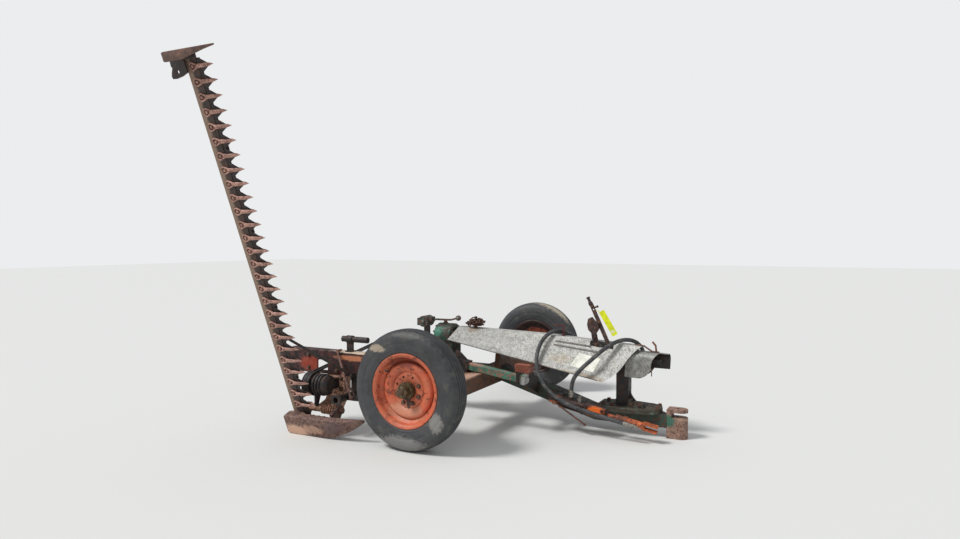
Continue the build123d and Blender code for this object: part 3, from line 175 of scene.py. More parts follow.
def tube(name, kind, places, radius, roundness):
    """A round tube along a curve of this kind through the places."""
    line = bpy.data.curves.new(name, "CURVE")
    line.dimensions = "3D"
    spline = line.splines.new(kind)
    spline.points.add(len(places) - 1)
    for point, place in zip(spline.points, places):
        point.co = (*place, 1.0)
    line.bevel_depth = radius
    line.bevel_resolution = roundness
    line.use_fill_caps = True
    piece = bpy.data.objects.new(name, line)
    bpy.context.scene.collection.objects.link(piece)
    return piece


hose = tube("hydraulic_hose", "NURBS", route, 0.0125, 5)
hose.data.splines[0].order_u = 3
hose.data.splines[0].use_endpoint_u = True
hose.data.resolution_u = 12
hose.data.materials.append(hose_rubber)
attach(hose, "frame")
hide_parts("hose")

# The coupler on the hose's end is a crimped steel sleeve, a hexagon and the plain quick-release tip.
# The same crimped sleeve, turned round, joins the hose to the elbow of the cylinder's port.
dull_steel = worn(
    "dull_steel", (172, 168, 158), (132, 128, 120), (104, 82, 62), 0.2, 0.03, (0.35, 0.7), metallic=0.7,
    depth=0.0004)


def alone(*pieces):
    """Select these pieces and nothing else, so that the next operator acts on them only."""
    bpy.ops.object.select_all(action="DESELECT")
    for piece in pieces:
        piece.select_set(True)
    if pieces:
        bpy.context.view_layer.objects.active = pieces[0]


def edit_all():
    """Enter edit mode with the whole piece selected."""
    bpy.ops.object.mode_set(mode="EDIT")
    bpy.ops.mesh.select_all(action="SELECT")


def edit_done():
    """Leave edit mode."""
    bpy.ops.object.mode_set(mode="OBJECT")


def turn_outwards():
    """Turn every face of the piece in edit mode outwards."""
    bpy.ops.mesh.select_all(action="SELECT")
    bpy.ops.mesh.normals_make_consistent(inside=False)


def facing(direction):
    """Rotation that turns the Z axis to this direction."""
    return Vector(direction).to_track_quat("Z", "Y").to_euler()


def dress(piece, name, material, body):
    """Give a finished piece its name, material and body, with its place in its mesh."""
    alone(piece)
    bpy.ops.object.transform_apply(location=True, rotation=True, scale=True)
    piece.name = name
    piece.data.name = name
    piece.data.materials.clear()
    piece.data.materials.append(material)
    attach(piece, body)
    return piece


def turned(start, direction, steps, sides=32):
    """A turned piece: a disc extruded through steps of (length, radius) along a direction."""
    bpy.ops.mesh.primitive_circle_add(
        vertices=sides, radius=steps[0][1], fill_type="NGON", location=start, rotation=facing(direction))
    piece = bpy.context.object
    ahead = Vector(direction).normalized()
    edit_all()
    radius = steps[0][1]
    for length, target in steps[1:]:
        bpy.ops.mesh.extrude_region_move(TRANSFORM_OT_translate={"value": ahead * length})
        if abs(target - radius) > 1e-7:
            bpy.ops.transform.resize(value=[target / radius] * 3)
        radius = target
    turn_outwards()
    edit_done()
    return piece


def smooth(piece, angle=35):
    """Round shading that keeps the edges sharper than this many degrees."""
    alone(piece)
    bpy.ops.object.shade_smooth_by_angle(angle=radians(angle))
    return piece


def fitting(name, material, start, direction, steps, sides=32, body="frame"):
    """A turned piece with rounded shading, dressed and in its place."""
    return dress(smooth(turned(start, direction, steps, sides)), name, material, body)


hose_end = (route[-1] - route[-2]).normalized()
coupler = fitting(
    "coupler_body", dull_steel, route[-1] - hose_end * 0.001, hose_end,
    [(0, 0.0148), (0.006, 0.0148), (0.001, 0.0138), (0.005, 0.0138), (0.001, 0.0148), (0.006, 0.0148),
     (0.001, 0.0138), (0.005, 0.0138), (0.001, 0.0148), (0.008, 0.0148), (0.004, 0.0108), (0.008, 0.0108),
     (0.001, 0.0142), (0.014, 0.0142), (0.001, 0.0112), (0.016, 0.0112), (0.002, 0.0092), (0.006, 0.0092)])
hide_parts("hose_coupler")

hose_start = (route[1] - route[0]).normalized()
fitting(
    "port_ferrule", dull_steel, route[0] - hose_start * 0.008, hose_start,
    [(0, 0.0155), (0.012, 0.0155), (0.002, 0.0142), (0.004, 0.0142), (0.002, 0.0155), (0.006, 0.0155),
     (0.002, 0.0142), (0.004, 0.0142), (0.002, 0.0155), (0.008, 0.0155), (0.002, 0.0128)])

# The tyres are worn ribbed farm tyres with round shoulders, smooth grey sidewalls and a few rings.
# They are moulded in one piece, dusted in smudges beside the rims and checked pale near the ground.
axle_back = 1.285
track = 1.840
tyre_radius = 0.340
tyre_steps = 96


def wheel_centre(side):
    """The middle of the right wheel, side -1, or of the left wheel, side 1."""
    return Vector((-axle_back, side * track / 2, up(tyre_radius)))


tyre_rubber_and_light = worn(
    "tyre_rubber_and_light", (58, 59, 61), (72, 72, 73), (88, 87, 83), 0.18, 0.16, (0.6, 0.85), depth=0.0006, grain=0.12)
# Smudges on both sidewalls: ahead of the axle and above it, breadth, height, tint and strength
smudges = (
    (-0.172, 0.228, 0.075, 0.030, (190, 174, 150), 0.7), (0.205, -0.150, 0.060, 0.075, (160, 156, 148), 0.55),
    (-0.02, -0.300, 0.230, 0.075, (146, 144, 140), 0.6), (0.04, 0.315, 0.16, 0.03, (112, 110, 104), 0.5))
for side in (-1, 1):
    for forward, rise, breadth, height, tint, strength in smudges:
        stain(
            tyre_rubber_and_light, tint, wheel_centre(side) + Vector((forward, side * 0.07, rise)),
            (breadth, 0.035, height), strength, 0.018)
# Painted sunlight over pale dust: a light band on the far tyre's upper inboard shoulder.
stain(tyre_rubber_and_light, (198, 186, 164), (-1.170, 0.896, up(0.590)), (0.240, 0.046, 0.160), 0.75, 0.012)
# Half of the tyre's section: distance outboard of the middle and radius, from the tread to the bead
tyre_half = [
    (0.004, 0.3395), (0.0050, 0.3315), (0.0092, 0.3315), (0.010, 0.3395), (0.021, 0.339), (0.0220, 0.331),
    (0.0262, 0.3305), (0.027, 0.338), (0.038, 0.336), (0.0390, 0.3285), (0.0428, 0.328), (0.0436, 0.334),
    (0.052, 0.3305), (0.0528, 0.328), (0.0550, 0.3272), (0.061, 0.3235), (0.0675, 0.316), (0.0722, 0.305),
    (0.0748, 0.291), (0.0756, 0.276), (0.0752, 0.2685), (0.0742, 0.267), (0.0742, 0.2645), (0.0748, 0.2625),
    (0.0738, 0.248), (0.0712, 0.235), (0.0706, 0.2325), (0.0690, 0.2310), (0.0692, 0.2275), (0.0672, 0.2195),
    (0.0655, 0.2165), (0.0622, 0.2120), (0.0585, 0.2095), (0.0575, 0.206), (0.0566, 0.194), (0.049, 0.1915),
    (0.044, 0.197), (0.047, 0.215), (0.062, 0.262), (0.058, 0.300), (0.044, 0.318), (0.0, 0.325)]
section = tyre_half + [(-x, r) for x, r in reversed(tyre_half[:-1])]


def choose(piece, kind, wanted):
    """Enter edit mode with only those edges or faces selected that are wanted."""
    bpy.ops.object.mode_set(mode="EDIT")
    bpy.ops.mesh.select_mode(type=kind)
    bpy.ops.mesh.select_all(action="DESELECT")
    edit_done()
    for part in piece.data.edges if kind == "EDGE" else piece.data.polygons:
        part.select = wanted(part)
    bpy.ops.object.mode_set(mode="EDIT")


def spun(line, side, steps, ring):
    """Spin a section, closed for a ring or else open, about the axle. It is left in edit mode."""
    middle = wheel_centre(side)
    bpy.ops.mesh.primitive_circle_add(vertices=len(line), radius=0.1, fill_type="NOTHING", location=(0, 0, 0))
    piece = bpy.context.object
    if not ring:
        choose(piece, "EDGE", lambda edge: {0, len(line) - 1} == set(edge.vertices))
        bpy.ops.mesh.delete(type="EDGE")
        edit_done()
    for vertex, (outboard, radius) in zip(piece.data.vertices, line):
        vertex.co = middle + Vector((0, side * outboard, radius))
    bpy.ops.object.mode_set(mode="EDIT")
    bpy.ops.mesh.select_mode(type="VERT")
    bpy.ops.mesh.select_all(action="SELECT")
    bpy.ops.mesh.spin(steps=steps, angle=2 * pi, center=middle, axis=(0, 1, 0))
    bpy.ops.mesh.select_all(action="SELECT")
    bpy.ops.mesh.remove_doubles(threshold=0.0002)
    bpy.ops.mesh.normals_make_consistent(inside=False)
    return piece


def from_axle(face, side):
    """How far a face lies outboard of the wheel's middle, its radius and its angle in degrees."""
    away = face.center - wheel_centre(side)
    return abs(away.y), (away.x ** 2 + away.z ** 2) ** 0.5, degrees(atan2(away.z, away.x))


def notched(face):
    """Is this face one of the notches that the mould left round both shoulders?"""
    outboard, radius, angle = from_axle(face, side)
    number = round(angle / 360 * tyre_steps - 0.5)
    return number % 2 == 0 and 0.0555 < outboard < 0.0665 and radius > 0.312


for word, side in (("right", -1), ("left", 1)):
    tyre = spun(section, side, tyre_steps, True)
    choose(tyre, "FACE", notched)
    bpy.ops.mesh.inset(thickness=0.003)
    bpy.ops.transform.shrink_fatten(value=-0.0012)
    edit_done()
    smooth(tyre, 40)
    dress(tyre, f"ribbed_tyre_{word}", tyre_rubber_and_light, f"wheel_{word}")
    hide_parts(f"tyre_{word}")

# The wheels are pressed steel, salmon red over old rust: a drop-centre rim and a dished disc that
# meets it between four slots, with eight holes round an olive-painted hub and its grease cap.
rim_paint_and_shade = worn(
    "rim_paint_and_shade", (210, 100, 66), (198, 108, 76), (136, 74, 54), 0.16, 0.09, (0.5, 0.85), depth=0.0004,
    grain=0.14)
for side in (-1, 1):
    wheel_middle = wheel_centre(side)
    stain(
        rim_paint_and_shade, (206, 146, 116), wheel_middle + Vector((-0.01, side * 0.03, -0.120)), (0.17, 0.06, 0.07),
        0.65)
    # Painted shade: a dark band over the rim's upper well, where the dished disc shades it.
    stain(rim_paint_and_shade, (96, 40, 32), wheel_middle + Vector((-0.03, side * 0.02, 0.165)), (0.20, 0.06, 0.060), 0.7)
    # Painted shadow: a small dark patch just below the hub, the hub's shadow on the disc.
    stain(
        rim_paint_and_shade, (34, 26, 24), wheel_middle + Vector((0.004, side * 0.03, -0.070)), (0.022, 0.05, 0.050), 0.9,
        0.02)
# Painted shade: the far wheel's rim and disc are painted near black, darkest on their inboard side.
stain(
    rim_paint_and_shade, (30, 26, 27), (-axle_back, track / 2 - 0.045, up(tyre_radius)), (0.60, 0.090, 0.60), 0.95, 0.02)
hub_paint = worn("hub_paint", (112, 96, 56), (84, 70, 44), (66, 46, 32), 0.4, 0.04, (0.5, 0.85), depth=0.0006)
dark_bolt = worn("dark_bolt", (92, 70, 56), (70, 54, 46), (126, 84, 60), 0.35, 0.02, depth=0.0004)


def paint(material, *names):
    """Give carried-over nodes of the model their finish."""
    for name in names:
        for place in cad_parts[name].material_slots:
            place.material = material


def joined(pieces):
    """Join pieces into the first of them."""
    alone(*pieces)
    if len(pieces) > 1:
        bpy.ops.object.join()
    return pieces[0]


def copied(piece, place):
    """A copy of a piece, with a mesh of its own, set down by the matrix of its place."""
    copy = piece.copy()
    copy.data = piece.data.copy()
    bpy.context.scene.collection.objects.link(copy)
    copy.matrix_world = place
    return copy


def bolts(name, material, body, spots, across=0.017, height=0.008, washer=0.0022, sides=6):
    """Hexagon heads on their washers, one at each (place, direction), joined as one piece."""
    model = turned((0, 0, -0.001), (0, 0, 1), [(0, across * 0.72), (washer + 0.001, across * 0.72)], 16)
    bpy.ops.mesh.primitive_cylinder_add(
        vertices=sides, radius=across / 2 / cos(pi / sides), depth=height, location=(0, 0, washer + height / 2))
    head = bpy.context.object
    choose(head, "FACE", lambda face: face.normal.z > 0.9)
    bpy.ops.mesh.inset(thickness=across * 0.07)
    bpy.ops.transform.translate(value=(0, 0, across * 0.05))
    edit_done()
    joined([model, head])
    bpy.ops.object.transform_apply(location=True, rotation=True, scale=True)
    made = []
    for number, (place, direction) in enumerate(spots):
        turn = Matrix.Rotation(number * 0.7, 4, "Z")
        made.append(copied(model, Matrix.Translation(place) @ facing(direction).to_matrix().to_4x4() @ turn))
    bpy.data.objects.remove(model)
    return dress(joined(made), name, material, body)


bolt_circle = 0.076
disc_face = 0.024
cap_face = 0.097
# Sections of the rim and of the disc: distance outboard of the middle and radius
rim_half = [
    (0.0600, 0.2088), (0.0638, 0.2084), (0.0652, 0.2050), (0.0630, 0.2010), (0.0605, 0.1940), (0.0550, 0.1885),
    (0.0350, 0.1860), (0.0300, 0.1830), (0.0200, 0.1665), (0.0160, 0.1645)]
rim_line = rim_half + [(-x, r) for x, r in reversed(rim_half)]
disc_line = [
    (-0.0020, 0.1480), (-0.0010, 0.1650), (0.0060, 0.1652), (0.0100, 0.1640), (0.0190, 0.1580),
    (0.0280, 0.1525), (0.0335, 0.1440), (0.0325, 0.1300), (0.0265, 0.1130), (0.0190, 0.1010), (0.0165, 0.0985),
    (0.0210, 0.0950), (0.0222, 0.0930), (0.0222, 0.0580), (0.0205, 0.0550), (0.0205, 0.0490)]


def spun_sheet(line, side, thickness, slots=()):
    """Sheet spun about the axle, with slots (radius low and high, angle from and to) left open in it."""

    def in_slot(face):
        radius, angle = from_axle(face, side)[1:]
        return any(low < radius < high and start < angle % 360 < end for low, high, start, end in slots)

    sheet = spun(line, side, 72, False)
    choose(sheet, "FACE", in_slot)
    if slots:
        bpy.ops.mesh.delete(type="FACE")
    edit_done()
    wall = sheet.modifiers.new("wall", "SOLIDIFY")
    wall.thickness = thickness
    wall.offset = 0
    bpy.ops.object.modifier_apply(modifier=wall.name)
    return sheet


def drilled(piece, cutter):
    """Cut the form of another piece out of this one, and remove that piece."""
    alone(piece)
    hole = piece.modifiers.new("hole", "BOOLEAN")
    hole.object = cutter
    hole.operation = "DIFFERENCE"
    bpy.ops.object.modifier_apply(modifier=hole.name)
    bpy.data.objects.remove(cutter)
    return piece


for word, side in (("right", -1), ("left", 1)):
    wheel_middle = wheel_centre(side)
    rim_shell = spun_sheet(rim_line, side, 0.0035)
    wheel_disc = spun_sheet(
        disc_line, side, 0.0035, [(0.1575, 0.1625, start, start + 50) for start in (42, 132, 222, 312)])
    cutters = []
    for number in range(8):
        angle = radians(22.5 + 45 * number)
        bpy.ops.mesh.primitive_cylinder_add(
            vertices=14, radius=0.0072, depth=0.04, rotation=(pi / 2, 0, 0),
            location=wheel_middle + Vector((bolt_circle * cos(angle), side * 0.022, bolt_circle * sin(angle))))
        cutters.append(bpy.context.object)
    joined([rim_shell, drilled(wheel_disc, joined(cutters))])
    smooth(rim_shell, 38)
    dress(rim_shell, f"pressed_wheel_{word}", rim_paint_and_shade, f"wheel_{word}")
    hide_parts(f"rim_{word}")
    paint(hub_paint, f"hub_{word}")
    face = side * (track / 2 + disc_face)
    spots = []
    for number in (0, 4, 5, 6, 7):
        angle = radians(22.5 + 45 * number)
        spots.append(
            (Vector((-axle_back + bolt_circle * cos(angle), face, up(tyre_radius) + bolt_circle * sin(angle))),
             (0, side, 0)))
    bolts(f"wheel_bolts_{word}", dark_bolt, f"wheel_{word}", spots, across=0.019, height=0.009)
    cap = side * (track / 2 + cap_face)
    fitting(
        f"cap_plug_{word}", dark_bolt, (-axle_back, cap - side * 0.001, up(tyre_radius)),
        (0, side, 0), [(0, 0.013), (0.004, 0.013), (0.001, 0.009), (0.004, 0.009)], 18, body=f"wheel_{word}")
    valve_foot = Vector((-axle_back - 0.118, side * (track / 2 + 0.030), up(tyre_radius) + 0.094))
    fitting(
        f"valve_stem_{word}", hose_rubber, valve_foot, (-0.35, side * 0.8, 0.3),
        [(0, 0.0045), (0.022, 0.004), (0.001, 0.005), (0.010, 0.005), (0.001, 0.003)], 12, body=f"wheel_{word}")

# The shield is folded zinc-coated sheet, chalky and mottled by the weather, brown along its lower
# edge. Two strips run beside the ridge, and its label is a blank pale rectangle.
zinc = worn(
    "weathered_zinc", (204, 203, 197), (180, 180, 175), (156, 150, 136), 0.3, 0.022, (0.5, 0.75), metallic=0.1,
    depth=0.0005, streak=0.45, grain=0.2)
for side in (-1, 1):
    stain(zinc, (150, 128, 98), (-0.64, side * 0.190, up(0.345)), (0.42, 0.026, 0.06), 0.6, 0.02)
    stain(zinc, (168, 146, 112), (-0.70, side * 0.125, up(0.430)), (0.12, 0.05, 0.05), 0.35, 0.03)
    stain(zinc, (150, 126, 96), (-1.34, side * 0.05, up(0.575)), (0.06, 0.05, 0.03), 0.55, 0.02)
bell_zinc = worn(
    "bell_zinc", (158, 159, 154), (140, 140, 136), (118, 108, 94), 0.22, 0.03, (0.42, 0.7), metallic=0.2,
    depth=0.0005, grain=0.16)
label_film = worn(
    "label_film", (246, 244, 232), (240, 238, 222), (222, 214, 186), 0.08, 0.05, (0.5, 0.7), depth=0.0001,
    grain=0.04)
strip_zinc = worn(
    "strip_zinc", (126, 124, 118), (104, 102, 98), (104, 88, 72), 0.3, 0.03, (0.5, 0.8), depth=0.0004)
paint(zinc, "driveline_shield")
paint(bell_zinc, "front_bell")
# The shield's cross-sections: distance behind the pin, heights of the ridge and of the edge
shield_sections = ((1.465, 0.584, 0.514), (0.835, 0.571, 0.405), (0.200, 0.532, 0.290))
shield_half = 0.190
shield_flat = 0.032


def on_shield(back, aside, proud=0.0):
    """A place on the shield's near slope, this far behind the pin and right of the middle."""
    rear, front = shield_sections[:2] if back > shield_sections[1][0] else shield_sections[1:]
    share = (back - front[0]) / (rear[0] - front[0])
    ridge = front[1] + share * (rear[1] - front[1])
    edge = front[2] + share * (rear[2] - front[2])
    fall = (ridge - edge) / (shield_half - shield_flat)
    lean = (fall ** 2 + 1) ** 0.5
    level = ridge - max(aside - shield_flat, 0) * fall
    if aside <= shield_flat:
        return Vector((-back, -aside, up(level + proud)))
    return Vector((-back, -aside - proud * fall / lean, up(level + proud / lean)))


def plate_on_shield(name, corners, thickness, material):
    """A thin plate with four corners on the near slope, standing proud by its thickness."""
    bpy.ops.mesh.primitive_plane_add(size=1, location=(0, 0, 0))
    plate = bpy.context.object
    order = (0, 1, 3, 2)
    for vertex, number in zip(plate.data.vertices, order):
        back, aside = corners[number]
        vertex.co = on_shield(back, aside, 0.0008)
    edit_all()
    out = on_shield(0.6, 0.1, 1.0) - on_shield(0.6, 0.1, 0.0)
    bpy.ops.mesh.extrude_region_move(TRANSFORM_OT_translate={"value": out.normalized() * thickness})
    turn_outwards()
    bpy.ops.mesh.bevel(offset=thickness * 0.3, segments=1)
    edit_done()
    return dress(plate, name, material, "frame")


plate_on_shield(
    "blank_plate", [(0.621, 0.159), (0.474, 0.162), (0.446, 0.103), (0.586, 0.095)], 0.0012, label_film)
for number, (rear_place, front_place, aside) in enumerate(((0.752, 0.520, 0.056), (0.757, 0.462, 0.075))):
    plate_on_shield(
        f"ridge_strip_{number}",
        [(rear_place, aside + 0.007), (front_place, aside + 0.007), (front_place, aside), (rear_place, aside)],
        0.003, strip_zinc)

# The bell's inside is black with the grease that the shaft throws off. The coat reads how far a
# place lies from the shaft's axis, above it all round and below it to the sides.
shaft_front = 0.105
shaft_height = 0.445
shaft_fall = radians(2.94)
bell_bore = 0.0525
bell_place = add_node(bell_zinc, "TexCoord", {}).outputs["Object"]
along_shaft = add_node(
    bell_zinc, "Mapping",
    {"Vector": bell_place, "Rotation": (0, shaft_fall, 0), "Location": (-shaft_front, 0, up(shaft_height))})
along_shaft.vector_type = "TEXTURE"
apart = add_node(bell_zinc, "SeparateXYZ", {"Vector": along_shaft.outputs["Vector"]})
over_axis = add_node(bell_zinc, "Math", {0: apart.outputs["Z"], 1: 0.0}, "MAXIMUM")
square_on = add_node(bell_zinc, "CombineXYZ", {"Y": apart.outputs["Y"], "Z": over_axis.outputs["Value"]})
from_axis = add_node(bell_zinc, "VectorMath", {0: square_on.outputs["Vector"]}, "LENGTH")
inside = add_node(
    bell_zinc, "MapRange",
    {"Value": from_axis.outputs["Value"], "From Min": bell_bore + 0.0005, "From Max": bell_bore - 0.0005})
lay_over(bell_zinc, inside.outputs["Result"], (50, 44, 40))

# Hems are rolled over wire along the shield's long edges. Small round rivets, in two rows on each
# slope, hold the straps inside it.
for word, side in (("near", 1), ("far", -1)):
    spots = [on_shield(back, shield_half - 0.001) for back in (1.464, 1.15, 0.835, 0.62, 0.440)]
    hem = tube(f"shield_hem_{word}", "POLY", [(spot.x, spot.y * side, spot.z) for spot in spots], 0.003, 2)
    alone(hem)
    bpy.ops.object.convert(target="MESH")
    smooth(bpy.context.object, 50)
    dress(bpy.context.object, f"shield_hem_{word}", strip_zinc, "frame")

rivets = []
out = (on_shield(0.6, 0.1, 1.0) - on_shield(0.6, 0.1, 0.0)).normalized()
for back in (1.44, 1.30, 1.165, 1.135, 0.95, 0.70, 0.36):
    for aside in (0.052, 0.160):
        if back > 0.5 or aside < 0.1:
            rivets.append((on_shield(back, aside), out))
            far = on_shield(back, aside)
            rivets.append((Vector((far.x, -far.y, far.z)), Vector((out.x, -out.y, out.z))))
bolts(
    "shield_rivets", zinc, "frame", rivets, across=0.009, height=0.0025, washer=0.0005, sides=12)

# A rusty wire latch joins the shield to the bell. On the ridge a red-brown clip, standing on a
# round foot, keeps the hose in its place.
rusty = worn("rusty_steel", (120, 86, 72), (94, 66, 56), (150, 104, 80), 0.35, 0.05, (0.65, 0.92), depth=0.0012)
red_oxide = worn("red_oxide", (118, 52, 48), (92, 44, 42), (70, 44, 38), 0.3, 0.03, depth=0.0005)
paint(rusty, "shield_latch")
paint(red_oxide, "hose_clip")
fitting(
    "clip_foot", red_oxide, (-0.722, -0.003, up(0.564)), (0, 0, 1),
    [(0, 0.013), (0.003, 0.013), (0.001, 0.009), (0.008, 0.009), (0.002, 0.006), (0.030, 0.006)], 14)

# A drop pin of rusted wire hangs from the bell's near lower edge. It is one short rod with a flat
# head, loose in its hole.
fitting(
    "drop_pin", rusty, (-0.149, -0.0555, up(0.404)), (0.02, -0.02, -1.0),
    [(0, 0.0060), (0.003, 0.0060), (0.001, 0.0030), (0.036, 0.0030), (0.002, 0.0015)], 12)

# The stand is an iron post with the shaft's bearing, black with old grease. Hexagon bolts hold
# its foot, the plate's nose and the clamp beside it.
black_iron = worn("black_iron", (52, 47, 45), (38, 34, 34), (84, 62, 50), 0.3, 0.07, (0.55, 0.88), depth=0.001)
paint(black_iron, "shield_stand")
foot_bolts = [(Vector((-x, y, up(0.170))), (0, 0, 1)) for x in (0.386, 0.440) for y in (-0.06, 0.06)]
foot_bolts += [(Vector((-0.118, y, up(0.170))), (0, 0, 1)) for y in (-0.040, 0.040)]
foot_bolts += [(Vector((-x, y, up(0.182))), (0, 0, 1)) for x in (0.216, 0.262) for y in (-0.068, -0.024)]
bolts("plate_bolts", dark_bolt, "frame", foot_bolts, across=0.020, height=0.011)

# The two control levers are flat bars under dark rust, bolted at their pivots. The short one
# carries a cast latch, and a blank yellow plastic tag hangs from the long one.
lever_rust = worn("lever_rust", (66, 50, 46), (54, 42, 40), (104, 76, 66), 0.3, 0.04)
tag_plastic = worn(
    "tag_plastic", (238, 246, 24), (230, 238, 22), (214, 222, 40), 0.06, 0.05, (0.35, 0.5), depth=0.0001,
    grain=0.05)
stain(tag_plastic, (220, 226, 196), (-0.392, -0.038, up(0.614)), (0.020, 0.02, 0.014), 0.8, 0.02)
paint(lever_rust, "control_levers")
paint(tag_plastic, "yellow_tag")


def facing_right(spots):
    """Bolt heads on a right side, from their places behind the hitch pin, to the right and above ground."""
    return [(Vector((-x, -y, up(h))), (0, -1, 0)) for x, y, h in spots]


lever_knobs = facing_right(
    ((0.368, 0.0565, 0.425), (0.4665, 0.0497, 0.462), (0.490, 0.0497, 0.530), (0.521, 0.042, 0.762),
     (0.522, 0.0625, 0.672), (0.492, 0.0625, 0.634), (0.478, 0.042, 0.668)))
bolts("lever_bolts", dark_bolt, "frame", lever_knobs, across=0.016, height=0.008)


def slab(outline, thickness):
    """A flat plate: the outline's places joined to a face, which is extruded by its thickness."""
    bpy.ops.mesh.primitive_circle_add(vertices=len(outline), radius=1, fill_type="NGON", location=(0, 0, 0))
    piece = bpy.context.object
    for vertex, place in zip(piece.data.vertices, outline):
        vertex.co = place
    edit_all()
    bpy.ops.mesh.extrude_region_move(TRANSFORM_OT_translate={"value": thickness})
    turn_outwards()
    edit_done()
    return piece


def rounded(piece, width):
    """Break the sharp edges of a piece by this width."""
    alone(piece)
    edges = piece.modifiers.new("edges", "BEVEL")
    edges.width = width
    edges.segments = 2
    edges.limit_method = "ANGLE"
    edges.angle_limit = radians(32)
    bpy.ops.object.modifier_apply(modifier=edges.name)
    return piece


latch_outline = [
    (-0.548, 0.650), (-0.542, 0.686), (-0.516, 0.700), (-0.502, 0.684), (-0.480, 0.662), (-0.470, 0.628),
    (-0.486, 0.602), (-0.498, 0.560), (-0.514, 0.556), (-0.521, 0.600), (-0.540, 0.618)]
latch_casting = rounded(
    slab([Vector((x, -0.0490, up(h))) for x, h in latch_outline], Vector((0, -0.0135, 0))), 0.003)
smooth(latch_casting)
dress(latch_casting, "lever_latch", lever_rust, "frame")

# The long lever ends in a round turned grip. A short steel hook below it holds the tag by its
# upper corner.
fitting(
    "lever_grip", lever_rust, (-0.527, -0.0385, up(0.768)), (-0.418, 0, 0.908),
    [(0, 0.010), (0.004, 0.0135), (0.016, 0.0135), (0.003, 0.0095), (0.022, 0.0085), (0.002, 0.012),
     (0.008, 0.012), (0.002, 0.007)], 16)
fitting(
    "tag_hook", lever_rust, (-0.520, -0.0385, up(0.752)), (0.85, 0, 0.30),
    [(0, 0.006), (0.030, 0.005), (0.001, 0.0075), (0.007, 0.0075), (0.001, 0.005)], 10)

# A log chain lies coiled on the shield's peg, in turns of rusted welded links. Each link is a
# stretched ring, and every other one stands on edge.
chain_rust = worn(
    "chain_rust", (78, 52, 44), (58, 42, 38), (122, 80, 56), 0.35, 0.02, (0.65, 0.92), depth=0.0006)
peg_back = 1.349
bpy.ops.mesh.primitive_torus_add(
    major_segments=14, minor_segments=7, major_radius=0.0105, minor_radius=0.0038, location=(0, 0, 0))
link = bpy.context.object
bpy.ops.object.mode_set(mode="EDIT")
bpy.ops.mesh.select_all(action="DESELECT")
edit_done()
for vertex in link.data.vertices:
    vertex.select = vertex.co.x > 0.0001
bpy.ops.object.mode_set(mode="EDIT")
bpy.ops.transform.translate(value=(0.012, 0, 0))
edit_done()
links_made = []
pitch_length = 0.0235
# The chain's turns: middle beside the peg, height, radius and start angle
for x, y, height, radius, start in ((0, 0, 0.603, 0.044, 0.0), (-0.016, 0.010, 0.613, 0.050, 0.8),
                                    (0.014, -0.008, 0.624, 0.043, 1.9), (-0.004, 0.006, 0.634, 0.034, 0.4)):
    count = int(2 * pi * radius / pitch_length)
    for number in range(count):
        angle = start + 2 * pi * number / count
        spot = Vector(
            (-peg_back + x + radius * cos(angle), y + radius * sin(angle),
             up(height) + 0.003 * sin(3 * angle + start)))
        tilt = 0.95 if number % 2 else 0.12
        links_made.append(
            copied(link, Matrix.Translation(spot) @ Matrix.Rotation(angle + pi / 2, 4, "Z")
             @ Matrix.Rotation(tilt, 4, "X") @ Matrix.Translation((-0.006, 0, 0))))
bpy.data.objects.remove(link)
dress(smooth(joined(links_made), 60), "log_chain", chain_rust, "frame")
peg = fitting(
    "peg_pin", chain_rust, (-peg_back, 0, up(0.578)), (0, 0, 1),
    [(0, 0.010), (0.002, 0.010), (0.074, 0.010), (0.002, 0.008)], 16)
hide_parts("chain_peg")

# The frame's box beams are welded and painted dark green, worn through to rust on their edges.
# The breakaway tube is a brighter green with a silver end, and the link bracket nearly black.
frame_paint = worn("frame_green", (40, 76, 62), (48, 60, 52), (92, 66, 54), 0.36, 0.06, (0.5, 0.88))
deck_paint = worn("deck_green", (66, 64, 54), (80, 84, 72), (76, 60, 50), 0.4, 0.06)
stain(deck_paint, (108, 132, 112), (-0.30, -0.075, up(0.140)), (0.30, 0.03, 0.030), 0.6, 0.03)
stain(frame_paint, (70, 142, 120), (-1.613, -0.085, up(0.553)), (0.055, 0.05, 0.062), 0.7, 0.010)
stain(frame_paint, (196, 142, 118), (-1.655, -0.085, up(0.589)), (0.035, 0.06, 0.030), 0.7, 0.02)
paint(frame_paint, "tongue", "rear_spine", "gear_case")
tube_paint = worn("tube_paint", (78, 140, 116), (66, 112, 94), (156, 116, 98), 0.34, 0.05, (0.5, 0.85))
stain(tube_paint, (164, 164, 160), (-0.815, -0.33, 0.165), (0.085, 0.10, 0.080), 0.95, 0.01)
stain(tube_paint, (170, 128, 110), (-1.180, -0.33, 0.262), (0.110, 0.08, 0.022), 0.8, 0.02)
paint(tube_paint, "breakaway_tube")
bracket_paint = worn("bracket_paint", (34, 40, 36), (46, 42, 38), (76, 56, 48), 0.35, 0.05)
stain(bracket_paint, (164, 98, 78), (-0.908, -0.200, up(0.378)), (0.120, 0.16, 0.056), 0.9, 0.01)
paint(bracket_paint, "link_bracket")
paint(deck_paint, "drawbar_plate")
beam_paint = worn("beam_paint", (64, 68, 56), (92, 62, 48), (120, 82, 62), 0.5, 0.08, (0.55, 0.9), depth=0.0012)
stain(beam_paint, (212, 168, 146), (-1.150, -0.500, 0.216), (0.110, 0.30, 0.030), 0.75, 0.02)
paint(beam_paint, "cross_beam")
paint(black_iron, "tube_sleeve", "drive_shaft", "jackshaft", "cylinder_lugs")

# The hitch clevis is a rusty forging with green paint left on its neck. The lower jaw is rubbed
# pale where the drawbar slides on it.
clevis_rust = worn("clevis_rust", (166, 132, 114), (142, 112, 98), (118, 82, 68), 0.3, 0.03)
stain(clevis_rust, (44, 104, 84), (-0.056, -0.045, up(0.104)), (0.060, 0.05, 0.05), 0.9, 0.012)
stain(clevis_rust, (176, 146, 122), (0.030, -0.02, up(0.118)), (0.06, 0.05, 0.012), 0.7, 0.03)
paint(clevis_rust, "hitch_clevis")

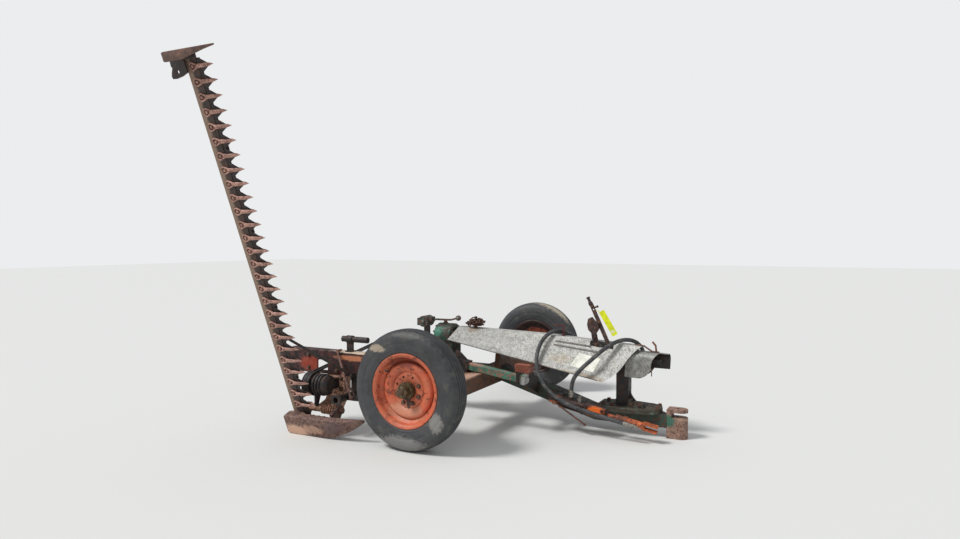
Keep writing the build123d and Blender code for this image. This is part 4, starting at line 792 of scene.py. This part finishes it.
# Welds run along the joints of the frame. Each bead is a row of ripples, under the same green
# paint as the beams.
def weld(name, start, end, radius, body, material):
    """A weld bead with ripples from start to end."""
    line = Vector(end) - Vector(start)
    ripple = 0.008
    count = max(int(line.length / ripple), 2)
    steps = [(0, radius * 0.6)]
    for number in range(count):
        steps += [(line.length / count * 0.5, radius), (line.length / count * 0.5, radius * 0.8)]
    bead = turned(start, line, steps, 8)
    smooth(bead, 60)
    return dress(bead, name, material, body)


half_tongue = 0.045
beam_front = 1.135
beam_back = 1.245
frame_welds = [
    ((-x, side * half_tongue, up(low)), (-x, side * half_tongue, up(high)))
    for x, low, high in ((beam_front, 0.250, 0.340), (beam_back, 0.258, 0.333)) for side in (-1, 1)]
frame_welds += [
    ((-1.300, -0.720, up(0.345)), (-1.140, -0.720, up(0.345))),
    ((-0.062, -0.030, up(0.127)), (-0.062, 0.030, up(0.127)))]
for number, (start, end) in enumerate(frame_welds):
    weld(f"frame_weld_{number}", start, end, 0.005, "frame", frame_paint)

# The gear case is cast iron in the frame's green, its cover held by a ring of bolts, with a
# filler plug on top.
case_front = 1.500
case_rear = 1.640
case_ring = 0.062
case_middle = shaft_height + (1.570 - shaft_front) * tan(shaft_fall)
case_bolts = []
for number in range(8):
    angle = radians(22.5 + 45 * number)
    spot = (case_ring * cos(angle), case_middle + case_ring * sin(angle))
    case_bolts.append((Vector((-case_rear, spot[0], up(spot[1]))), (-1, 0, 0)))
    if number not in (5, 6):
        case_bolts.append((Vector((-case_front, spot[0], up(spot[1]))), (1, 0, 0)))
bolts("case_bolts", dark_bolt, "frame", case_bolts, across=0.013, height=0.007)
fitting(
    "filler_plug", dark_bolt, (-1.585, 0.0, up(case_middle + 0.079)), (0, 0, 1),
    [(0, 0.018), (0.006, 0.018), (0.001, 0.012), (0.012, 0.012), (0.001, 0.009)], 16)

# The tilt screw and its knuckle are iron in worn green and red-brown, held by bright bolts. The
# rest on the rear arm is a black iron tube on a post.
knuckle_iron = worn("knuckle_iron", (128, 80, 74), (72, 60, 56), (50, 96, 78), 0.35, 0.035, depth=0.001)
paint(knuckle_iron, "tilt_screw")
paint(black_iron, "arm_rest")
post_back = 1.713
knuckle_bolts = facing_right(
    ((post_back, 0.090, 0.612), (post_back + 0.028, 0.070, 0.624), (1.460, 0.051, 0.643)))
bolts("knuckle_bolts", dull_steel, "frame", knuckle_bolts, across=0.019, height=0.009)

# The rear arm is a steel channel in dark red paint, brighter in one patch. Its top flange is painted
# pale, with a copper-brown band below it by the wheel.
arm_paint = worn("arm_paint", (88, 38, 32), (66, 36, 32), (44, 34, 30), 0.4, 0.08, (0.5, 0.88), depth=0.001)
stain(arm_paint, (172, 66, 38), (-2.110, -0.79, up(0.402)), (0.110, 0.03, 0.062), 0.7, 0.010)
stain(arm_paint, (206, 132, 94), (-1.780, -0.79, up(0.455)), (0.200, 0.04, 0.022), 0.8, 0.02)
stain(arm_paint, (226, 204, 180), (-1.740, -0.76, up(0.490)), (0.260, 0.08, 0.010), 0.8, 0.02)
paint(arm_paint, "rear_arm")
arm_face = 0.790
arm_spots = facing_right(
    [(x, arm_face, h)
     for x, h in ((1.700, 0.375), (1.700, 0.455), (1.560, 0.375), (1.560, 0.455), (2.120, 0.375),
      (2.120, 0.455), (2.230, 0.415), (1.900, 0.372))])
bolts("arm_bolts", dark_bolt, "frame", arm_spots, across=0.019, height=0.009)

# The drive head is a ribbed black drum with its sheave, driven by two rubber belts. A black brace
# tube runs beside them.
paint(black_iron, "drive_head", "driven_sheave", "brace_tube")
belt_rubber = worn(
    "belt_rubber", (44, 42, 42), (58, 54, 52), (86, 80, 72), 0.2, 0.05, (0.6, 0.85), depth=0.0003)
paint(belt_rubber, "belts")

# Cutter bar, guards, knife and shoes are bare steel under brown rust. The knife is darkest, and the
# guards are worn bright where the crop slides over them.
bar_rust = worn("bar_rust", (76, 62, 56), (62, 50, 48), (100, 78, 66), 0.3, 0.05, (0.62, 0.92))
guard_rust = worn(
    "guard_rust", (202, 156, 138), (172, 130, 116), (136, 96, 86), 0.3, 0.03, depth=0.0006, grain=0.16)
knife_rust = worn(
    "knife_rust", (58, 50, 48), (46, 42, 42), (84, 60, 50), 0.25, 0.04, (0.5, 0.85), metallic=0.2, depth=0.0005)
shoe_rust_and_light = worn(
    "shoe_rust_and_light", (118, 90, 82), (138, 108, 92), (100, 72, 66), 0.35, 0.05, (0.6, 0.92), depth=0.001)
hanger_rust = worn(
    "hanger_rust", (228, 178, 148), (196, 148, 122), (134, 98, 82), 0.28, 0.035, (0.6, 0.92), depth=0.001,
    grain=0.14)
stain(bar_rust, (146, 122, 104), (-2.106, -1.3, 1.0), (0.052, 4.0, 4.0), 0.9, 0.02)
paint(bar_rust, "cutter_bar")
paint(knife_rust, "knife")
paint(hanger_rust, "bar_hanger")
paint(black_iron, "transport_rod")
rod_rust = worn("rod_rust", (168, 124, 110), (132, 98, 88), (100, 74, 66), 0.3, 0.03, depth=0.0006)
paint(rod_rust, "tilt_rods")
paint(rusty, "hinge_pin")

# The cutter bar folds about its hinge, so its pieces are laid out in the bar's own frame: X
# forward, Y inboard and Z up as it lies when it mows.
fold = radians(68.5)
hinge = Vector((0, -0.862, up(0.150)))
inboard = Vector((0, cos(fold), -sin(fold)))
above = Vector((0, sin(fold), cos(fold)))
bar_frame = Matrix(
    ((1, 0, 0, 0), (0, inboard.y, above.y, hinge.y), (0, inboard.z, above.z, hinge.z), (0, 0, 0, 1)))


def on_bar(x, along, rise):
    """A place by the bar: X, distance inboard of the hinge and height above it in its own frame."""
    return hinge + Vector((x, 0, 0)) + inboard * along + above * rise


def folded(piece, name, material):
    """Lay a piece from the bar's own frame where the folded bar is, and dress it."""
    piece.matrix_world = bar_frame @ piece.matrix_world
    return dress(smooth(piece, 40), name, material, "cutter")


def drawn(steps, sides=8, flat=True):
    """A piece drawn out along X through steps of (x, y, z, half width, half height)."""
    x, y, z, wide, high = steps[0]
    bpy.ops.mesh.primitive_circle_add(
        vertices=sides, radius=1 / cos(pi / sides) if flat else 1, fill_type="NGON", location=(x, y, z),
        rotation=(0, pi / 2, 0))
    piece = bpy.context.object
    bpy.ops.object.transform_apply(location=True, rotation=True, scale=True)
    edit_all()
    if flat:
        bpy.ops.transform.rotate(value=pi / sides, orient_axis="X", center_override=(x, y, z))
    bpy.ops.transform.resize(value=(1, wide, high), center_override=(x, y, z))
    for next_x, next_y, next_z, next_wide, next_high in steps[1:]:
        move = (next_x - x, next_y - y, next_z - z)
        bpy.ops.mesh.extrude_region_move(TRANSFORM_OT_translate={"value": move})
        bpy.ops.transform.resize(
            value=(1, next_wide / wide, next_high / high), center_override=(next_x, next_y, next_z))
        x, y, z, wide, high = next_x, next_y, next_z, next_wide, next_high
    turn_outwards()
    edit_done()
    return piece


bar_low = -0.088
bar_top = bar_low + 0.010
bar_front = -2.024
guard_pitch = 0.0762
first_guard = 0.078
guard_count = 27
bolt_back = 0.028


def under_bar(steps):
    """Steps of a drawn piece, given from the bar's lower front edge."""
    return [(bar_front + x, y, bar_low + z, wide, high) for x, y, z, wide, high in steps]


# A guard is a forging: a pointed finger, slit for the knife under a short lip, whose root forks round
# the nut that holds it under the bar.
finger = drawn(
    under_bar([(-0.002, 0, -0.008, 0.0095, 0.008), (0.012, 0, -0.0078, 0.0115, 0.0086),
      (0.040, 0, -0.0068, 0.0105, 0.0076), (0.071, 0, -0.0052, 0.0092, 0.0060),
      (0.0735, 0, 0.0005, 0.0090, 0.0112), (0.090, 0, 0, 0.0052, 0.0074), (0.1085, 0, -0.001, 0.0010, 0.0014)]),
    flat=False)
lip = drawn(
    under_bar([(0.020, 0, 0.0118, 0.0045, 0.0010), (0.030, 0, 0.0122, 0.0080, 0.0026),
      (0.058, 0, 0.0118, 0.0080, 0.0028), (0.080, 0, 0.0075, 0.0060, 0.0045)]))
forks = [
    drawn(under_bar([(0.006, side * 0.003, -0.0065, 0.0060, 0.0058),
       (-0.012, side * 0.012, -0.0058, 0.0046, 0.0052), (-0.030, side * 0.0185, -0.0048, 0.0042, 0.0046),
       (-0.043, side * 0.0165, -0.0042, 0.0042, 0.0040), (-0.050, side * 0.0060, -0.0036, 0.0060, 0.0034)]), 6)
    for side in (-1, 1)]
model_guard = joined([finger, lip] + forks)
guard_row = []
guard_spots = []
nut_spots = []
rivet_spots = []
for number in range(guard_count):
    along = -first_guard - number * guard_pitch
    guard_row.append(copied(model_guard, bar_frame @ Matrix.Translation((0, along, 0))))
    guard_spots.append((on_bar(bar_front - bolt_back, along, bar_top), above))
    nut_spots.append((on_bar(bar_front - bolt_back, along, bar_low), -above))
    for aside in (-0.019, 0.019):
        rivet_spots.append((on_bar(bar_front + 0.013, along + aside, bar_low + 0.008), above))
bpy.data.objects.remove(model_guard)
forged_guards = dress(smooth(joined(guard_row), 40), "forged_guards", guard_rust, "cutter")
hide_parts("guards")
bolts("guard_bolts", bar_rust, "cutter", guard_spots, across=0.014, height=0.006)
bolts("guard_nuts", guard_rust, "cutter", nut_spots, across=0.014, height=0.008)
bolts(
    "section_rivets", knife_rust, "knife_body", rivet_spots, across=0.007, height=0.0012,
    washer=0.0002, sides=8)

# The inner shoe is a boat-shaped casting with its toe turned up, two lugs for the hinge and ribs
# across its top. Its sole is pale towards the heel, partly scraped by the ground and partly painted
# sunlight, and darker towards the toe.
shoe_middle = 0.0396
boat = drawn(
    [(-2.140, shoe_middle, -0.119, 0.0560, 0.028), (-2.118, shoe_middle, -0.119, 0.0625, 0.031),
     (-2.014, shoe_middle, -0.119, 0.0625, 0.031), (-2.008, shoe_middle, -0.125, 0.0625, 0.025),
     (-1.860, shoe_middle, -0.125, 0.0625, 0.025), (-1.780, 0.0330, -0.1225, 0.0560, 0.0225),
     (-1.700, 0.0190, -0.1120, 0.0420, 0.0180), (-1.630, 0.0030, -0.0960, 0.0240, 0.0120),
     (-1.585, -0.0100, -0.0815, 0.0095, 0.0060)], 4)
rounded(boat, 0.006)
shoe_pieces = [boat]
for x in (-1.950, -1.910, -1.870, -1.800):
    shoe_pieces.append(
        rounded(drawn([(x, shoe_middle, -0.100, 0.056, 0.010), (x + 0.008, shoe_middle, -0.100, 0.056, 0.010)],
          4), 0.002))
for x, foot in ((-2.071, -0.090), (-1.841, -0.102)):
    lug = slab(
        [Vector((x, 0.030 * cos(radians(a)), 0.030 * sin(radians(a)))) for a in (20, 55, 90, 125, 160)]
        + [Vector((x, y, z))
         for y, z in ((-0.026, 0.004), (-0.020, -0.0775), (0.0355, -0.0775), (0.0355, foot), (0.100, foot))],
        Vector((0.022, 0, 0)))
    shoe_pieces.append(rounded(lug, 0.002))
boat_shoe = joined(shoe_pieces)
# Pale stains on the sole, partly painted sunlight, and a darker one towards the toe.
for x, along, tint, reach, strength in ((-2.06, 0.072, (226, 184, 158), (0.12, 0.06, 0.050), 0.85),
                                        (-1.94, 0.052, (204, 162, 138), (0.12, 0.06, 0.040), 0.65),
                                        (-1.78, 0.020, (104, 84, 84), (0.10, 0.06, 0.06), 0.6)):
    stain(shoe_rust_and_light, tint, on_bar(x, along, -0.150), reach, strength, 0.02)
folded(boat_shoe, "boat_shoe", shoe_rust_and_light)
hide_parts("inner_shoe")

# The outer shoe at the bar's far end is a thin tapered sole with an upright web, tied to the bar by
# a dark plate with a hole in its ear.
outer_edge = -first_guard - guard_pitch * (guard_count - 1) - 0.042
outer_rear = -2.180
outer_tip = -1.868
sole_strip = drawn(
    [(outer_rear, outer_edge - 0.025, -0.1405, 0.022, 0.0085),
     (outer_rear + 0.016, outer_edge - 0.025, -0.1420, 0.025, 0.008),
     (outer_rear + 0.120, outer_edge - 0.0255, -0.1420, 0.0245, 0.008),
     (outer_tip - 0.110, outer_edge - 0.0335, -0.1385, 0.0165, 0.008),
     (outer_tip - 0.050, outer_edge - 0.0405, -0.1240, 0.0095, 0.007),
     (outer_tip, outer_edge - 0.0460, -0.0960, 0.0040, 0.0045)], 4)
web = slab(
    [Vector((x, outer_edge - 0.050, z))
     for x, z in ((outer_tip - 0.006, -0.096), (outer_tip - 0.024, -0.087), (-2.024, -0.108), (-2.024, -0.088),
      (-2.100, -0.088), (outer_rear + 0.002, -0.118), (outer_rear + 0.002, -0.140), (outer_tip - 0.150, -0.140),
      (outer_tip - 0.066, -0.128))], Vector((0, 0.010, 0)))
outer_sole = joined([rounded(sole_strip, 0.003), rounded(web, 0.0015)])
outer_rust = worn("outer_rust", (116, 88, 80), (98, 76, 70), (142, 108, 92), 0.3, 0.05, (0.6, 0.92))
folded(outer_sole, "outer_sole", outer_rust)
ear = slab(
    [Vector((x, outer_edge + y, -0.110))
     for x, y in ((-2.176, -0.049), (-2.030, -0.049), (-2.030, -0.004), (-2.084, 0.004), (-2.084, 0.066),
      (-2.124, 0.080), (-2.168, 0.088), (-2.196, 0.086), (-2.200, 0.074), (-2.190, 0.052), (-2.178, 0.034),
      (-2.184, 0.024))], Vector((0, 0, 0.010)))
bpy.ops.mesh.primitive_cylinder_add(
    vertices=16, radius=0.009, depth=0.05, location=(-2.146, outer_edge + 0.056, -0.105))
rounded(drilled(ear, bpy.context.object), 0.0015)
folded(ear, "outer_ear", knife_rust)
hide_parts("outer_shoe")

# The shoes and the hanger are bolted to the bar and the arm by hexagon heads on washers, brown
# like the iron round them.
shoe_spots = [(on_bar(x, 0.012, bar_top), above) for x in (-2.088, -2.040)]
bolts("shoe_bolts", dark_bolt, "cutter", shoe_spots, across=0.019, height=0.009)
outer_spots = [(on_bar(x, outer_edge - 0.024, -0.100), above) for x in (-2.085, -2.042)]
bolts("outer_shoe_bolts", dark_bolt, "cutter", outer_spots, across=0.017, height=0.008)
hanger_face = 0.7855
hanger_spots = facing_right([(x, hanger_face, h) for x, h in ((1.870, 0.325), (1.960, 0.325), (1.870, 0.260))])
bolts("hanger_bolts", dark_bolt, "frame", hanger_spots, across=0.019, height=0.009)

# The lift cylinder is orange paint over steel. Its ends are orange blocks, its barrel has gone
# brown-black with oil, and rust shows through at the fork.
cylinder_rear = Vector((-0.715, -0.190, up(0.203)))
cylinder_front = Vector((-0.110, -0.190, up(0.088)))
ahead = (cylinder_front - cylinder_rear).normalized()
orange = worn(
    "orange_paint", (218, 112, 52), (198, 96, 50), (116, 66, 48), 0.34, 0.03, (0.45, 0.85), depth=0.0006)
oily_black = worn("oily_black", (62, 44, 40), (46, 36, 34), (96, 62, 50), 0.3, 0.03, (0.45, 0.85), depth=0.0006)
barrel_paint = worn(
    "barrel_paint", (66, 46, 40), (48, 38, 36), (110, 66, 48), 0.35, 0.03, (0.45, 0.85), depth=0.0006)
paint(orange, "cylinder_rod")
paint(barrel_paint, "cylinder_barrel")


def along_cylinder(distance, aside=0.0, rise=0.0):
    """A place by the cylinder: distance from its rear pin, to the left and above its axis."""
    over = Vector((-ahead.z, 0, ahead.x))
    return cylinder_rear + ahead * distance + Vector((0, aside, 0)) + over * rise


stain(barrel_paint, (238, 112, 34), along_cylinder(0.265, -0.026, 0.0), (0.078, 0.06, 0.045), 1.0, 0.08)
stain(barrel_paint, (226, 104, 36), along_cylinder(0.010, -0.02, 0.0), (0.045, 0.05, 0.032), 0.95, 0.05)
stain(orange, (88, 58, 48), along_cylinder(0.430, 0.0, 0.0), (0.060, 0.05, 0.05), 0.75, 0.03)
fitting(
    "barrel_skin", oily_black, along_cylinder(0.052), ahead,
    [(0, 0.0262), (0.0, 0.0268), (0.010, 0.0268), (0.001, 0.0264), (0.124, 0.0264), (0.001, 0.0290),
     (0.009, 0.0290), (0.001, 0.0264)], 32)
fitting(
    "gland_ring", oily_black, along_cylinder(0.331), ahead,
    [(0, 0.0200), (0.008, 0.0200), (0.001, 0.0165), (0.006, 0.0165), (0.001, 0.0115)], 28)
block_spots = [
    (along_cylinder(place, -0.026, rise), (0, -1, 0)) for place in (0.214, 0.314) for rise in (-0.015, 0.015)]
bolts("block_bolts", oily_black, "frame", block_spots, across=0.012, height=0.006)

# A straight rod hangs by its eye at the cylinder's rear pin and slopes forward to near the ground.
# It is bare rusted steel with a short turned end.
rod_start = Vector((-0.688, -0.226, up(0.182)))
rod_foot = Vector((-0.503, -0.206, up(0.062)))
hanging_rod = turned(
    rod_start, rod_foot - rod_start,
    [(0, 0.0055), ((rod_foot - rod_start).length - 0.012, 0.0055), (0.002, 0.0080), (0.008, 0.0080),
     (0.002, 0.0050)], 12)
bpy.ops.mesh.primitive_torus_add(
    major_segments=20, minor_segments=8, major_radius=0.012, minor_radius=0.0045,
    location=rod_start - (rod_foot - rod_start).normalized() * 0.010, rotation=(pi / 2, 0.2, 0))
eye = bpy.context.object
joined([hanging_rod, eye])
smooth(hanging_rod, 50)
dress(hanging_rod, "hanging_rod", rusty, "frame")

# A steel fitting with two hexagons joins the cylinder's port to the hose. It is plated, dull and
# a little rusty.
elbow = turned(
    along_cylinder(0.168, -0.004, 0.024), (0.05, -0.05, 1.0),
    [(0, 0.0135), (0.010, 0.0135), (0.001, 0.0165), (0.014, 0.0165), (0.001, 0.0120), (0.012, 0.0120)], 6)
dress(elbow, "port_hexagon", dull_steel, "frame")

# The studio is a plain pale floor, one large soft lamp and an even sky, which the camera sees as
# a light wall.
bpy.ops.mesh.primitive_plane_add(size=60, location=(0, 0, ground))
floor = bpy.context.object
floor.name = "floor"
floor_tone = bpy.data.materials.new("floor_tone")
floor_tone.use_nodes = True
floor_shader = floor_tone.node_tree.nodes["Principled BSDF"].inputs
floor_shader["Base Color"].default_value = tone(222, 222, 218)
floor_shader["Roughness"].default_value = 0.9
floor.data.materials.append(floor_tone)

bpy.ops.object.light_add(type="SUN", location=(-3, -4, 5))
sun = bpy.context.object
sun.rotation_euler = Vector((0.55, 0.55, -0.95)).to_track_quat("-Z", "Y").to_euler()
sun.data.energy = 2.3
sun.data.angle = radians(14)
world = bpy.data.worlds.new("studio")
bpy.context.scene.world = world
world.use_nodes = True
sky = world.node_tree.nodes["Background"]
sky.inputs["Color"].default_value = (0.93, 0.95, 1.0, 1.0)
sky.inputs["Strength"].default_value = 0.55
backdrop = add_node(world, "Background", {"Color": tone(236, 237, 238), "Strength": 1.0})
seen = add_node(world, "LightPath", {}).outputs["Is Camera Ray"]
either = add_node(
    world, "MixShader", {"Fac": seen, 1: sky.outputs["Background"], 2: backdrop.outputs["Background"]})
feed(world, world.node_tree.nodes["World Output"].inputs["Surface"], either.outputs["Shader"])
